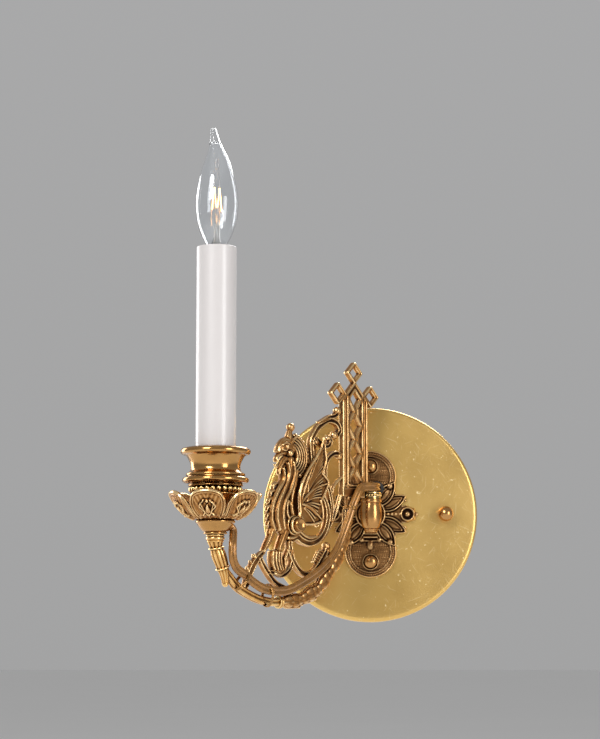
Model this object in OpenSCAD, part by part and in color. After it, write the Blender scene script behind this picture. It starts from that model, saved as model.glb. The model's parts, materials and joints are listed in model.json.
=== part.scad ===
// Wall sconce with one candle lamp on a swing arm.
// Millimetres, +Z up, +X right, the wall is the plane y = 0 and the sconce stands out towards -Y.
// The origin is the centre of the backplate, in the wall plane.
// The arm is drawn in its own frame: X runs out along the arm from the pivot, Y is its front side.

/* [Backplate] */
// Outside diameter of the round backplate
plate_d = 127; // [112:0.1:153]
// How far the backplate stands out from the wall
plate_depth = 12; // [11:0.5:16]
// Thickness of the spun brass
plate_wall = 1.2; // [0.8:0.1:1.6]
// Outer radius of the backplate's front edge
plate_corner_r = 2; // [1.8:0.1:3]

/* [Wall fixing] */
// Distance between the two studs that carry the backplate
stud_spacing = 88.9; // [80:0.1:90]
// Stud diameter
stud_d = 4.2; // [3.5:0.1:5]
// Distance between the two slots for the wall box screws
box_screw_spacing = 69.85; // [66:0.05:72]
// Length of each slot, end to end
slot_len = 10; // [8:0.5:11]
// Width of each slot
slot_w = 4.6; // [4:0.1:5]
// Width of the mounting strap
strap_w = 14; // [12:0.5:18]
// Thickness of the mounting strap
strap_t = 2; // [1.5:0.1:2.5]
// Strap left beyond each stud
strap_end = 6; // [5:0.5:8]
// Diameter of the round cap nuts
cap_nut_d = 8.9; // [8:0.1:11]

/* [Rosette] */
// Radius of the two round lobes
lobe_r = 15.6; // [14:0.1:17]
// Distance from the centre to each lobe's centre
lobe_offset = 22; // [20:0.5:24]
// Half width of the rosette, to the side tips
rosette_half_w = 28.8; // [27:0.1:32]
// Thickness of the rosette's ground
rosette_t = 2; // [1.5:0.1:3]
// Height of the rims and leaves above the ground
relief_h = 1.4; // [1:0.1:2]
// Distance from the centre to each dome-headed screw
rosette_screw_offset = 28.2; // [26:0.1:30]

/* [Pivot] */
// Distance from the wall to the pivot's axis
pivot_gap = 26; // [24:0.1:32]
// Diameter of the pivot pin
pin_d = 6; // [5:0.1:7.2]
// Gap all round a turning pin
running_gap = 0.05; // [0.03:0.01:0.08]
// Largest radius of the urn-shaped socket
urn_r = 6.5; // [6.2:0.1:8]
// Height of the socket's top above the origin
urn_top = 7.5; // [6:0.5:9]
// Length of the pin inside the socket
pin_len = 16; // [12:0.5:17]
// Thickness of the washer that the arm turns on
thrust_t = 0.8; // [0.5:0.1:1.5]
// Height of the beaded knuckle under the lattice post
knuckle_h = 3.6; // [3:0.1:5]

/* [Arm] */
// Distance from the pivot's axis to the candle's axis
arm_reach = 124; // [118:1:150]
// Angle between the arm and the wall, as drawn
arm_angle = 45; // [30:1:90]
// Thickness of the pierced castings
casting_t = 4; // [3:0.5:5]
// Diameter of the reeded branch
branch_d = 5.6; // [5:0.1:6.5]

/* [Lattice post] */
// Overall width of the post
post_w = 21.4; // [19:0.2:24]
// Distance from the pivot's axis to the middle of the post
post_u = 14.8; // [14:0.1:16]
// Width of each upright rail
rail_w = 5.4; // [4:0.1:6]
// Height at which the gable's point stands
gable_z = 77; // [70:0.5:80]
// Height from one lattice crossing to the next
lattice_pitch = 16.2; // [15:0.1:17]
// Width of a lattice bar
lattice_bar_w = 1.9; // [1.4:0.1:2.4]
// Corner-to-corner size of the open diamonds
diamond_d = 13.4; // [12:0.1:15]
// Corner-to-corner size of a diamond's opening
diamond_hole_d = 7; // [5:0.1:8]

/* [Candle] */
// Outside diameter of the candle sleeve
sleeve_d = 22.2; // [18.5:0.1:23]
// Length of the candle sleeve
sleeve_len = 120.65; // [100:0.05:125]
// Wall of the candle sleeve
sleeve_wall = 0.8; // [0.6:0.1:1.2]
// Height of the sleeve's top above the origin
candle_top = 141.5; // [140:0.5:145]
// Gap round the sleeve in its cup
sleeve_gap = 0.3; // [0.2:0.05:0.5]
// Outside radius of the candle cup's rim
cup_rim_r = 19.2; // [18:0.1:21]
// Outside radius of the petals
petal_r = 25.7; // [24:0.1:28]
// Thickness of the petal dish
petal_t = 1.5; // [1.2:0.1:2]
// Diameter of the threaded tube that clamps the stack
tube_d = 7; // [6.4:0.1:7.6]
// Bore of the threaded tube
tube_bore_d = 4.4; // [4:0.1:4.8]

/* [Lamp] */
// Largest diameter of the flame-shaped glass
glass_d = 24; // [22:0.5:26]
// Height of the glass above the sleeve
glass_len = 67.5; // [60:0.5:72]
// Outside diameter of the lamp's screw cap
cap_d = 11.7; // [11:0.1:12]
// Rise of the lamp in one turn
thread_pitch = 2.54; // [2:0.01:3]

/* [Cord] */
// Width of the flat twin cord
cord_w = 5.2; // [4:0.1:5.6]
// Thickness of the flat twin cord
cord_t = 2.7; // [2:0.1:3]

/* [Hidden] */
$fn = 72;
eps = 0.01;

brass = "goldenrod";
antique_brass = "darkgoldenrod";
steel = "silver";

plate_r = plate_d / 2;
rosette_front = plate_depth + rosette_t;
fit_gap = 0.1;                       // loose hole round a plain screw shank
shoulder_u = 65;                     // the screw through the griffin's shoulder
shoulder_z = -9.8;
shoulder_screw_r = 1.6;
eye_r = 4.1;
membrane_t = 1.2;
bone_t = 2;
wing_back = casting_t / 2 + 0.8;
shank_d = 7.8;                       // threaded shank behind the pivot socket
nut_t = 3;
washer_t = 0.8;
screw_d = 3.5;
stud_len = plate_depth + 5.5;
knuckle_z = urn_top + thrust_t + running_gap;
post_z = knuckle_z + knuckle_h;
bushing_x = 3.6;
bushing_z = 15;
bushing_r = 3.7;

sleeve_bottom = candle_top - sleeve_len;
tube_top = sleeve_bottom + 6.5;
terminal_top = -17;
cup_floor_t = 2.5;
dish_z = -9.2;
dish_hub_t = 1.6;
collar_z = 5;
cup_z = 9;
rim_z = 28.1;
rim_r = 1.8;
bracket_t = 1.2;
bracket_z = sleeve_bottom + 2.8;
socket_r = sleeve_d / 2 - sleeve_wall - 0.5;
socket_top = candle_top - 1.5;
socket_len = 26;
socket_bottom = socket_top - socket_len;
cap_r = cap_d / 2;
cap_len = 19;
cap_bottom = candle_top - cap_len;
shell_bore_r = cap_r + 0.35;
contact_z = cap_bottom - 3.4;

// Routes of the cord, chosen by hand: [x, y, z] for the loop and [along, front, up] for the arm.
loop_route = [[3.6, -6.5, 15], [3.6, -13, 15], [3.8, -19, 15], [4.4, -24, 15], [3.6, -29, 15],
    [0.2, -33.3, 14.8], [-4, -36.65, 14.5]];
loop_normals = [[1, 0, 0], [1, 0, 0], [1, 0, 0], [1, 0, 0], [0.9, -0.5, 0], [0.75, -0.66, 0],
    [0.707, -0.707, 0]];
arm_route = [[10.6, 4.7, 14.5], [11.6, 4.7, 14.4], [14.4, 4.6, 12.7], [17, 4.5, 8.5], [19.7, 4.3, 3.5],
    [23, 4.2, -4], [26.5, 4, -11.2], [30, 4, -18], [34, 4, -24], [39.8, 4, -29.8],
    [46.3, 4, -34.6], [54, 4, -38.9], [62.5, 4, -42.8], [69, 4, -45.4], [75.9, 4, -46.9],
    [84, 4, -46.9], [92.2, 4, -45.5], [99, 4, -42.5], [105.2, 4.2, -38.7], [111.5, 4.6, -35.6],
    [115.1, 5.4, -31.8], [116.6, 6, -27.5], [116.6, 6, -22.7], [115, 4.6, -18],
    [113.6, 3, -14.5], [115.3, 1.8, -12.1], [118, 1.4, -11.6]];

// ---------- frames and small helpers ----------

// Local Z points out from the wall, local Y is up
module on_wall(out = 0) {
    translate([0, -out, 0]) rotate([90, 0, 0]) children();
}

// Local X runs along the arm and local Y to its front
module on_arm() {
    translate([0, -pivot_gap, 0]) rotate([0, 0, 180 + arm_angle]) children();
}

module on_candle() {
    on_arm() translate([arm_reach, 0, 0]) children();
}

// A flat outline in the arm's plane, thick to both sides of it
module arm_slab(thick, front = 0) {
    translate([0, front, 0]) rotate([90, 0, 0]) linear_extrude(thick, center = true) children();
}

module turned(profile) {
    rotate_extrude() polygon(profile);
}

module tube(outer_r, inner_r, length) {
    difference() {
        cylinder(r = outer_r, h = length);
        translate([0, 0, -1]) cylinder(r = inner_r, h = length + 2);
    }
}

module hex_nut(across, thick, hole_r) {
    difference() {
        cylinder(d = across / cos(30), h = thick, $fn = 6);
        translate([0, 0, -1]) cylinder(r = hole_r, h = thick + 2);
    }
}

// A point t of the way along span i of the smooth curve through the points
function curve_at(p, i, t) = let (
        n = len(p) - 1,
        a = p[max(i - 1, 0)],
        b = p[i],
        c = p[min(i + 1, n)],
        d = p[min(i + 2, n)])
    0.5 * (2 * b + (c - a) * t + (2 * a - 5 * b + 4 * c - d) * t * t
        + (3 * b - a - 3 * c + d) * t * t * t);

function curve(p, steps) = concat(
    [for (i = [0 : len(p) - 2]) for (k = [0 : steps - 1]) curve_at(p, i, k / steps)],
    [p[len(p) - 1]]);

// A cast rib through points [along, up, radius]; depth is its thickness over its width
module rib(points, depth = 1, steps = 2, front = 0) {
    q = curve(points, steps);
    for (i = [0 : len(q) - 2]) hull() {
        for (k = [i, i + 1]) {
            translate([q[k][0], front, q[k][1]]) scale([1, depth, 1]) sphere(r = q[k][2], $fn = 8);
        }
    }
}

function unit(v) = v / norm(v);

// Closed tube of flat oval section along a route, thin along the normals
module flat_cord(route, normals, wide, thin) {
    sides = 8;
    n = len(route) - 1;
    rings = [for (i = [0 : n]) let (
            t = unit(route[min(i + 1, n)] - route[max(i - 1, 0)]),
            m = unit(normals[i] - t * (normals[i] * t)),
            w = cross(t, m))
        for (k = [0 : sides - 1])
            route[i] + w * (wide / 2 * cos(k * 360 / sides)) + m * (thin / 2 * sin(k * 360 / sides))];
    skin = [for (i = [0 : n - 1]) for (k = [0 : sides - 1]) let (k2 = (k + 1) % sides)
        [i * sides + k, i * sides + k2, (i + 1) * sides + k2, (i + 1) * sides + k]];
    start_cap = [[for (k = [sides - 1 : -1 : 0]) k]];
    end_cap = [[for (k = [0 : sides - 1]) n * sides + k]];
    polyhedron(rings, concat(skin, start_cap, end_cap), convexity = 6);
}

// ---------- wall side ----------

module pan_shape(r, depth, corner) {
    rotate_extrude() union() {
        square([r - corner, depth]);
        square([r, depth - corner]);
        translate([r - corner, depth - corner]) circle(corner);
    }
}

module plate_holes() {
    cylinder(d = shank_d + 2 * fit_gap, h = 40);
    translate([bushing_x, bushing_z, 0]) cylinder(r = bushing_r, h = 40);
    for (s = [-1, 1]) {
        translate([0, s * rosette_screw_offset, 0]) cylinder(d = screw_d + 2 * fit_gap, h = 40);
    }
}

module backplate() {
    inner_r = plate_r - plate_wall;
    color(brass) on_wall() difference() {
        pan_shape(plate_r, plate_depth, plate_corner_r);
        pan_shape(inner_r, plate_depth - plate_wall, plate_corner_r - plate_wall);
        translate([0, 0, -1]) cylinder(r = inner_r, h = 2);
        plate_holes();
        for (s = [-1, 1]) {
            translate([s * stud_spacing / 2, 0, 0]) cylinder(d = stud_d + 4 * fit_gap, h = 40);
        }
    }
}

// A pointed leaf outline between two arcs, from the origin along +X
module leaf_outline(length, width) {
    r = (length * length / 4 + width * width / 4) / width;
    intersection() {
        translate([length / 2, r - width / 2]) circle(r);
        translate([length / 2, width / 2 - r]) circle(r);
    }
}

module rosette() {
    leaf_angles = [38, 142, 218, 322];
    leaf_len = 25;
    leaf_w = 9.5;
    side_ring_x = 22;
    side_ring_r = 4.2;
    color(antique_brass) on_wall(plate_depth) difference() {
        union() {
            linear_extrude(rosette_t) union() {
                circle(12);
                for (s = [-1, 1]) {
                    translate([0, s * lobe_offset]) circle(lobe_r);
                    polygon([[0, -9], [s * side_ring_x, -5], [s * rosette_half_w, 0],
                        [s * side_ring_x, 5], [0, 9]]);
                }
                for (a = leaf_angles) rotate(a) leaf_outline(leaf_len, leaf_w);
            }
            linear_extrude(rosette_t + relief_h) union() {
                for (s = [-1, 1]) {
                    translate([0, s * lobe_offset]) difference() {
                        circle(lobe_r);
                        circle(lobe_r - 1.8);
                        translate([-20, s > 0 ? -20 - 4 : 4]) square([40, 20]);
                    }
                    translate([s * side_ring_x, 0]) difference() {
                        circle(side_ring_r);
                        circle(side_ring_r - 1.3);
                    }
                }
                for (a = leaf_angles) rotate(a) difference() {
                    leaf_outline(leaf_len, leaf_w);
                    translate([2, 0]) leaf_outline(leaf_len - 5, leaf_w - 3);
                }
            }
            cylinder(r = 8.2, h = rosette_t + relief_h);
            for (s = [-1, 1]) translate([s * side_ring_x, 0, rosette_t]) sphere(1.8);
            for (s = [-1, 1]) for (k = [0 : 2]) {
                translate([s * (10.5 + k * 2.6), 0, rosette_t]) sphere(1.1);
            }
        }
        translate([0, 0, -20]) plate_holes();
        translate([0, 0, rosette_t]) cylinder(r = socket_foot_r + fit_gap, h = 10);
    }
}

socket_foot_r = 7;

module rosette_screws() {
    head_r = 3.8;
    color(antique_brass) for (s = [-1, 1]) {
        translate([0, 0, s * rosette_screw_offset]) on_wall() {
            translate([0, 0, plate_depth - plate_wall - nut_t - 0.5])
                cylinder(d = screw_d, h = nut_t + plate_wall + rosette_t + 1);
            translate([0, 0, rosette_front]) intersection() {
                translate([0, 0, -1.6]) sphere(sqrt(head_r * head_r + 1.6 * 1.6));
                cylinder(r = head_r, h = 6);
            }
        }
    }
}

module rosette_nuts() {
    color(steel) for (s = [-1, 1]) {
        translate([0, 0, s * rosette_screw_offset]) on_wall(plate_depth - plate_wall - nut_t + 0.6)
            hex_nut(5.5, nut_t - 0.6, screw_d / 2);
    }
}

module mounting_strap() {
    strap_len = stud_spacing + 2 * strap_end;
    color(steel) on_wall() difference() {
        linear_extrude(strap_t) union() {
            square([strap_len - strap_w, strap_w], center = true);
            for (s = [-1, 1]) translate([s * (strap_len - strap_w) / 2, 0]) circle(d = strap_w);
        }
        translate([0, 0, -1]) linear_extrude(strap_t + 2) for (s = [-1, 1]) {
            translate([s * box_screw_spacing / 2, 0]) union() {
                square([slot_len - slot_w, slot_w], center = true);
                for (e = [-1, 1]) translate([e * (slot_len - slot_w) / 2, 0]) circle(d = slot_w);
            }
        }
        for (s = [-1, 1]) translate([s * stud_spacing / 2, 0, -1]) cylinder(d = stud_d, h = 10);
        translate([ground_x, 0, -1]) cylinder(d = screw_d, h = 10);
    }
}

ground_x = -19;

module ground_screw() {
    color("seagreen") translate([ground_x, 0, 0]) on_wall() union() {
        cylinder(d = screw_d, h = strap_t);
        translate([0, 0, strap_t]) cylinder(r = 3.8, h = 0.8);
        translate([0, 0, strap_t + 0.8]) cylinder(d = 6.4 / cos(30), h = 2, $fn = 6);
    }
}

module mounting_studs() {
    color(steel) for (s = [-1, 1]) {
        translate([s * stud_spacing / 2, 0, 0]) on_wall() cylinder(d = stud_d, h = stud_len);
    }
}

module stud_nuts() {
    color(steel) for (s = [-1, 1]) {
        translate([s * stud_spacing / 2, 0, 0]) on_wall(strap_t) hex_nut(8, 2.6, stud_d / 2);
    }
}

module cap_nut(side) {
    r = cap_nut_d / 2;
    seat_h = 1.4;
    color(antique_brass) translate([side * stud_spacing / 2, 0, 0]) on_wall(plate_depth) difference() {
        union() {
            cylinder(r = r - 0.9, h = seat_h + 1);
            translate([0, 0, seat_h + r - 0.8]) sphere(r);
        }
        translate([0, 0, -1]) cylinder(d = stud_d, h = 1 + stud_len - plate_depth);
        translate([0, 0, -10]) cylinder(r = 20, h = 10);
    }
}

module cap_nut_left() { cap_nut(-1); }

module cap_nut_right() { cap_nut(1); }

// The urn that the arm's pin turns in, with its neck, foot and threaded shank
module pivot_socket() {
    bore_bottom = urn_top - pin_len - 0.5;
    color(brass) difference() {
        union() {
            translate([0, -pivot_gap, 0]) turned([[0, -12], [3.6, -12], [4.2, -11.2], [3.9, -10.3],
                [5.2, -9], [urn_r - 0.5, -6], [urn_r, -1], [urn_r - 0.2, 4], [urn_r - 0.6, urn_top - 2],
                [urn_r - 0.1, urn_top - 1.4], [urn_r - 0.1, urn_top], [0, urn_top]]);
            on_wall(rosette_front) cylinder(r = socket_foot_r, h = 2.4);
            on_wall(rosette_front) cylinder(r = 4.3, h = pivot_gap - rosette_front - 2);
            on_wall(plate_depth - plate_wall - washer_t - nut_t - 0.8)
                cylinder(d = shank_d, h = plate_wall + washer_t + nut_t + 0.8 + rosette_t + 0.5);
        }
        translate([0, -pivot_gap, bore_bottom]) cylinder(d = pin_d + 2 * running_gap, h = 40);
    }
}

module socket_washer() {
    color(steel) on_wall(plate_depth - plate_wall - washer_t) tube(8, shank_d / 2, washer_t);
}

module socket_nut() {
    color(steel) on_wall(plate_depth - plate_wall - washer_t - nut_t)
        hex_nut(12, nut_t, shank_d / 2);
}

module thrust_washer() {
    color(brass) translate([0, -pivot_gap, urn_top])
        tube(urn_r - 0.4, pin_d / 2 + running_gap, thrust_t);
}

// Lines the cord's hole through the rosette and the backplate
module cord_bushing() {
    flange_r = bushing_r + 0.6;
    color("dimgray") translate([bushing_x, 0, bushing_z])
        on_wall(plate_depth - plate_wall - 1) difference() {
            union() {
                cylinder(r = bushing_r, h = 1 + plate_wall + rosette_t);
                translate([0, 0, 1 + plate_wall + rosette_t]) cylinder(r = flange_r, h = 1);
                cylinder(r = flange_r, h = 1);
            }
            translate([0, 0, -1]) cylinder(d = cord_w + 0.4, h = 20);
        }
}

// The cord's loop from the backplate round the foot of the post
module pivot_cord() {
    color("orange") flat_cord(loop_route, loop_normals, cord_w, cord_t);
}

// Single wires from the cord's end to the connectors inside the backplate
module plate_leads() {
    lead_r = 0.9;
    color("gainsboro") for (s = [-1, 1]) {
        route = [[bushing_x + s * 1.2, -5.5, bushing_z], [bushing_x + s * 2, -5.2, bushing_z + 3],
            [s * 8, -5, 22], [s * 13, -5.4, 24.4]];
        for (i = [0 : 2]) hull() for (k = [i, i + 1]) translate(route[k]) sphere(lead_r, $fn = 8);
    }
}

module wire_connectors() {
    color("orangered") for (s = [-1, 1]) translate([s * 12.8, -5.4, 24.4]) rotate([0, s * 90, 0])
        difference() {
            cylinder(r1 = 4.4, r2 = 3, h = 14);
            translate([0, 0, -1]) cylinder(r = 1.7, h = 8);
        }
}

// ---------- swing arm ----------

module pivot_pin() {
    color(steel) translate([0, -pivot_gap, urn_top - pin_len])
        cylinder(d = pin_d, h = pin_len + thrust_t + running_gap + knuckle_h - 0.6);
}

module beaded_knuckle() {
    bead_r = 0.95;
    ring_r = urn_r - 0.6;
    color(brass) on_arm() translate([0, 0, knuckle_z]) difference() {
        union() {
            cylinder(r = ring_r, h = knuckle_h);
            for (z = [bead_r, knuckle_h - bead_r]) translate([0, 0, z])
                rotate_extrude() translate([ring_r - 0.2, 0]) circle(bead_r - 0.1);
        }
        translate([0, 0, -1]) cylinder(d = pin_d, h = 1 + knuckle_h - 0.6);
    }
}

// A square standing on its corner, with a square opening
module diamond(outer, inner) {
    rotate(45) difference() {
        square(outer / sqrt(2), center = true);
        square(inner / sqrt(2), center = true);
    }
}

module lattice_post_shape() {
    half = post_w / 2;
    open_half = half - rail_w;
    sill = 3;
    lattice_bottom = post_z + sill;
    lattice_top = gable_z - half;
    crossings = floor((lattice_top - lattice_bottom + 1) / lattice_pitch);
    bar_angle = atan2(lattice_pitch, 2 * open_half);
    top_gap = 5.2;
    translate([post_u, 0]) union() {
        difference() {
            polygon([[-half, post_z], [half, post_z], [half, gable_z - half], [0, gable_z],
                [-half, gable_z - half]]);
            polygon([[-open_half, lattice_bottom], [open_half, lattice_bottom],
                [open_half, gable_z - top_gap - open_half], [0, gable_z - top_gap],
                [-open_half, gable_z - top_gap - open_half]]);
        }
        for (k = [0 : crossings - 1]) translate([0, lattice_top - (k + 0.5) * lattice_pitch]) {
            for (s = [-1, 1]) rotate(s * bar_angle)
                square([norm([2 * open_half, lattice_pitch]) + 1, lattice_bar_w], center = true);
        }
        translate([0, gable_z + diamond_d / 2 - 2.6]) diamond(diamond_d, diamond_hole_d);
        for (s = [-1, 1]) {
            translate([s * (half + 3), gable_z - half + 1.8]) diamond(diamond_d, diamond_hole_d);
        }
    }
}

module lattice_post_solid() {
    foot_r = urn_r - 0.8;
    foot_cap_t = 0.3;
    arm_slab(casting_t) lattice_post_shape();
    arm_slab(casting_t - 2) for (s = [-1, 1]) translate([post_u + s * (post_w / 2 - rail_w / 2), 0])
        translate([-0.7, post_z + 2]) square([1.4, gable_z - post_w / 2 - post_z - 3]);
    translate([-1, -casting_t / 2, knuckle_z]) cube([post_u + post_w / 2 + 1, casting_t, knuckle_h]);
    translate([0, 0, post_z]) cylinder(r = foot_r, h = foot_cap_t);
}

module lattice_post() {
    color(antique_brass) on_arm() difference() {
        lattice_post_solid();
        translate([0, 0, knuckle_z - 1]) cylinder(r = urn_r + 0.5, h = knuckle_h + 1);
    }
}

// Pierced scrollwork between the post, the griffin and the branch
module scroll_ribs() {
    d = casting_t / 3.2;
    rib([[42, 8.6, 1.2], [46.4, 17, 1.3], [49.6, 27.9, 1.4], [50.4, 38, 1.5], [44.7, 47, 1.6], [36.7, 51.3, 1.6],
        [29.6, 50.4, 1.6], [27.6, 46, 1.5], [30.6, 43.4, 2]], d);
    rib([[43, 49, 1.2], [35, 53, 1.4], [30.5, 54.4, 1.4], [28, 57.4, 2]], d);
    rib([[48, 39, 1.2], [44.6, 37.6, 1.9]], d);
    rib([[45, 40.5, 1], [40, 37, 1.2], [36.2, 38.4, 1.3], [35.4, 42, 1.2]], d);
    rib([[26, 31.6, 2], [31.9, 32.4, 1.5], [38.2, 28, 1.5], [39.6, 20, 1.5], [36, 11, 1.4],
        [34, 3.2, 1.3], [34.8, -6, 1.2]], d);
    rib([[42.5, 9, 1.2], [38, 2.5, 1.6], [37.3, -4, 1.7], [40.6, -13, 1.7], [46.5, -18.6, 1.8],
        [54, -19.4, 2], [62, -16.5, 2.2], [67, -18.5, 2]], d);
    rib([[26, 9, 1.1], [30.2, -1.5, 1.1], [36, -11, 1.1], [41.5, -17, 1.1]], d);
    rib([[37.4, -21, 2.3], [41.5, -27, 1.8], [47, -34, 1.8], [54, -37.3, 1.7], [62.5, -33, 1.7],
        [67.5, -26, 1.7], [68, -19, 1.7]], d);
    rib([[38.2, -22, 1.6], [33.6, -27.6, 1.6]], d);
    rib([[91, -28.5, 1.3], [87, -34, 1.5], [81.5, -40.4, 1.5], [73, -44.6, 1.5], [66, -47.8, 1.5]], d);
    rib([[101, -45.5, 1.4], [98.5, -37.5, 2.2], [94, -31, 2.4], [88.6, -25.8, 1.4]], d);
    rib([[68.1, -21, 1.4], [65.7, -28, 1.3], [68.5, -35, 1.3], [75, -38, 1.3], [80, -36, 1.3], [85, -36.6, 1.3]], d);
}

module scroll_bracket() {
    color(antique_brass) on_arm() difference() {
        scroll_ribs();
        lattice_post_solid();
        branch_solid();
        leaf_solid();
    }
}

module griffin_shape() {
    rib([[70, 34, 4.6], [67, 27, 4.2], [68, 19, 4], [73.4, 10, 4.4], [77.5, 1, 4.8],
        [77.4, -8, 5.2], [73, -13.6, 5]], 0.8);
    rib([[62.6, 19, 2.6], [66.5, 10, 2.4], [66, 0, 2.4], [shoulder_u, shoulder_z, 4.4]], 0.58);
    rib([[shoulder_u, shoulder_z, 4.4], [73, -11, 4.6]], 0.55);
    rib([[68.6, 38, 2.4], [68.2, 42, 1.7], [66.9, 45.4, 1.5]]);
    rib([[71, 36, 3.2], [75.6, 34, 2.8], [78.6, 32, 2.2]]);
    rib([[71, 31.5, 2.6], [76, 29, 1.8], [79.6, 26.8, 1.5], [78.6, 23.8, 1.2]]);
    rib([[73.5, 27.5, 1.8], [75.3, 22.5, 1.4], [74.4, 18.6, 1]]);
    rib([[66, 38.6, 2.4], [60, 36, 2.6], [56.4, 30.5, 2.6], [56, 24.5, 2.4], [59.6, 19.6, 2.2]]);
    rib([[63.5, 34, 2.8], [61.5, 27, 2.8], [64, 22, 2.6]]);
    rib([[70.5, -14, 3], [75.4, -23, 2.3], [77.8, -27, 3.6], [77.4, -31.5, 3.8], [75.8, -35.4, 2.2]]);
    rib([[80, -10, 3.2], [82.6, -17.6, 2.6], [87, -24, 2]]);
}

module shoulder_hole(r) {
    translate([shoulder_u, 0, shoulder_z]) rotate([90, 0, 0]) cylinder(r = r, h = 40, center = true);
}

module griffin_body() {
    color(antique_brass) on_arm() difference() {
        griffin_shape();
        scroll_ribs();
        shoulder_hole(shoulder_screw_r);
    }
}

// A bone of the wing from a to b, with round ends
module bone(a, b, wide) {
    hull() {
        translate(a) circle(d = wide, $fn = 8);
        translate(b) circle(d = wide, $fn = 8);
    }
}

// A wing lies on each side of the griffin, with an eye round the shoulder screw
module griffin_wings() {
    edge = [[62.6, -3], [63, 6.1], [61.3, 13], [56.9, 20.6], [51.2, 27.2], [46.3, 33.8], [43.4, 41.4]];
    color(antique_brass) on_arm() difference() {
        for (s = [-1, 1]) union() {
            arm_slab(membrane_t, s * (wing_back + membrane_t / 2)) polygon(concat(edge, [[41.8, 27.2],
                [45, 20], [39, 14.7], [43, 8], [46.8, 3.5], [44.6, -1.7], [45, -7], [52, -9.3],
                [59, -9.3]]));
            arm_slab(bone_t, s * (wing_back + bone_t / 2)) union() {
                for (p = [[43.4, 39], [40.4, 15], [45.4, -6.4]]) bone([62.2, 3.6], p, 1.4);
                bone(edge[0], [shoulder_u, shoulder_z], 2.4);
                for (i = [0 : len(edge) - 2]) bone(edge[i], edge[i + 1], 1.8);
                translate([shoulder_u, shoulder_z]) circle(eye_r, $fn = 12);
            }
        }
        shoulder_hole(shoulder_screw_r + fit_gap);
    }
}

// Headed screw and nut that hold the griffin and its wings to the scrollwork
module shoulder_screw() {
    head_h = 2.6;
    seat = wing_back + bone_t;
    color(brass) on_arm() translate([shoulder_u, 0, shoulder_z]) rotate([-90, 0, 0]) difference() {
        union() {
            translate([0, 0, seat]) cylinder(r = eye_r - 0.2, h = head_h);
            translate([0, 0, -seat - 2]) cylinder(r = shoulder_screw_r, h = 2 * seat + 2);
            translate([0, 0, -seat - 2]) cylinder(d = 6 / cos(30), h = 2, $fn = 6);
        }
        translate([0, 0, seat + head_h + 3.2]) sphere(4.4);
    }
}

function branch_r() = branch_d / 2;

// The reeded branch follows the candle's end of the arm
module branch_solid() {
    r = branch_r();
    rib([[arm_reach - 5.4, -34.5, r - 0.6], [arm_reach - 9.6, -39, r - 0.2],
        [arm_reach - 17.3, -45.6, r], [94, -50.8, r], [84, -52.8, r], [78, -53, r]], 0.95, 3);
}

module band_solid() {
    translate([75.6, 0, -53]) rotate([0, 90, 0]) cylinder(r = branch_r() + 0.9, h = 2.6, center = true);
}

module leaf_solid() {
    r = branch_r();
    rib([[73.2, -53, r], [68, -52.6, r + 0.9], [62, -51.8, r], [57, -50.4, r + 1.1], [50, -47.4, r],
        [45, -44.6, r + 1.1], [39, -38.8, r], [32.6, -32.2, r + 0.2], [26, -22.6, r - 0.2],
        [21.8, -12, r - 0.5], [20, -1, r - 0.8], [19.6, post_z - 2, r - 0.9]], 0.85);
}

module branch_arm() {
    color(antique_brass) on_arm() difference() {
        branch_solid();
        band_solid();
        terminal_solid();
    }
}

module arm_band() {
    color(brass) on_arm() band_solid();
}

module branch_leaf() {
    color(antique_brass) on_arm() difference() {
        leaf_solid();
        band_solid();
        lattice_post_solid();
    }
}

// The turned drop at the branch's end, which carries the candle
module terminal_solid() {
    translate([arm_reach, 0, terminal_top - 4]) cylinder(r = 5.2, h = 4);
    rib([[arm_reach, -21.4, 4.6], [arm_reach - 0.9, -24.5, 3.6], [arm_reach - 3, -29.5, 4.2],
        [arm_reach - 5.6, -34.5, 3.4], [arm_reach - 7.2, -39.5, 2.3], [arm_reach - 7.6, -43.6, 1.9]],
        1, 1);
}

module arm_terminal() {
    color(antique_brass) on_arm() difference() {
        terminal_solid();
        translate([arm_reach, 0, terminal_top - 3.5]) cylinder(d = tube_d, h = 10);
    }
}

// ---------- candle stack ----------

module base_cup() {
    color(brass) on_candle() difference() {
        turned([[tube_d / 2 + fit_gap, terminal_top], [6.2, terminal_top], [6.8, -16], [7.6, -15],
            [9.8, -12], [10.4, -10.4], [10.4, dish_z], [9, dish_z], [8.6, -10.6], [7, -13.4],
            [5.6, -15.4], [tube_d / 2 + fit_gap, -15.6]]);
        translate([-6, 1.6, -11.6]) rotate([0, -90, 0]) cylinder(r = 3, h = 6);
    }
}

// Six petals cut from one trumpet-shaped shell
module petal_dish() {
    flare_x = petal_r + 0.3;
    flare_z = -10.6;
    flare_r = flare_x - 9.9;
    petal_w = 10.6;
    color(antique_brass) on_candle() difference() {
        union() {
            intersection() {
                rotate_extrude() translate([flare_x, flare_z]) difference() {
                    intersection() {
                        circle(flare_r);
                        translate([-flare_r, -dish_z + flare_z < 0 ? dish_z - flare_z : 0])
                            square([flare_r, flare_r + 1]);
                    }
                    circle(flare_r - petal_t);
                }
                translate([0, 0, -30]) linear_extrude(60) union() {
                    for (k = [0 : 5]) rotate(k * 60 + 35) {
                        translate([petal_r - petal_w, 0]) circle(petal_w);
                    }
                    circle(13);
                }
            }
            translate([0, 0, dish_z]) cylinder(r = 11, h = dish_hub_t);
        }
        translate([0, 0, -30]) cylinder(d = tube_d + 2 * fit_gap, h = 60);
    }
}

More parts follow.
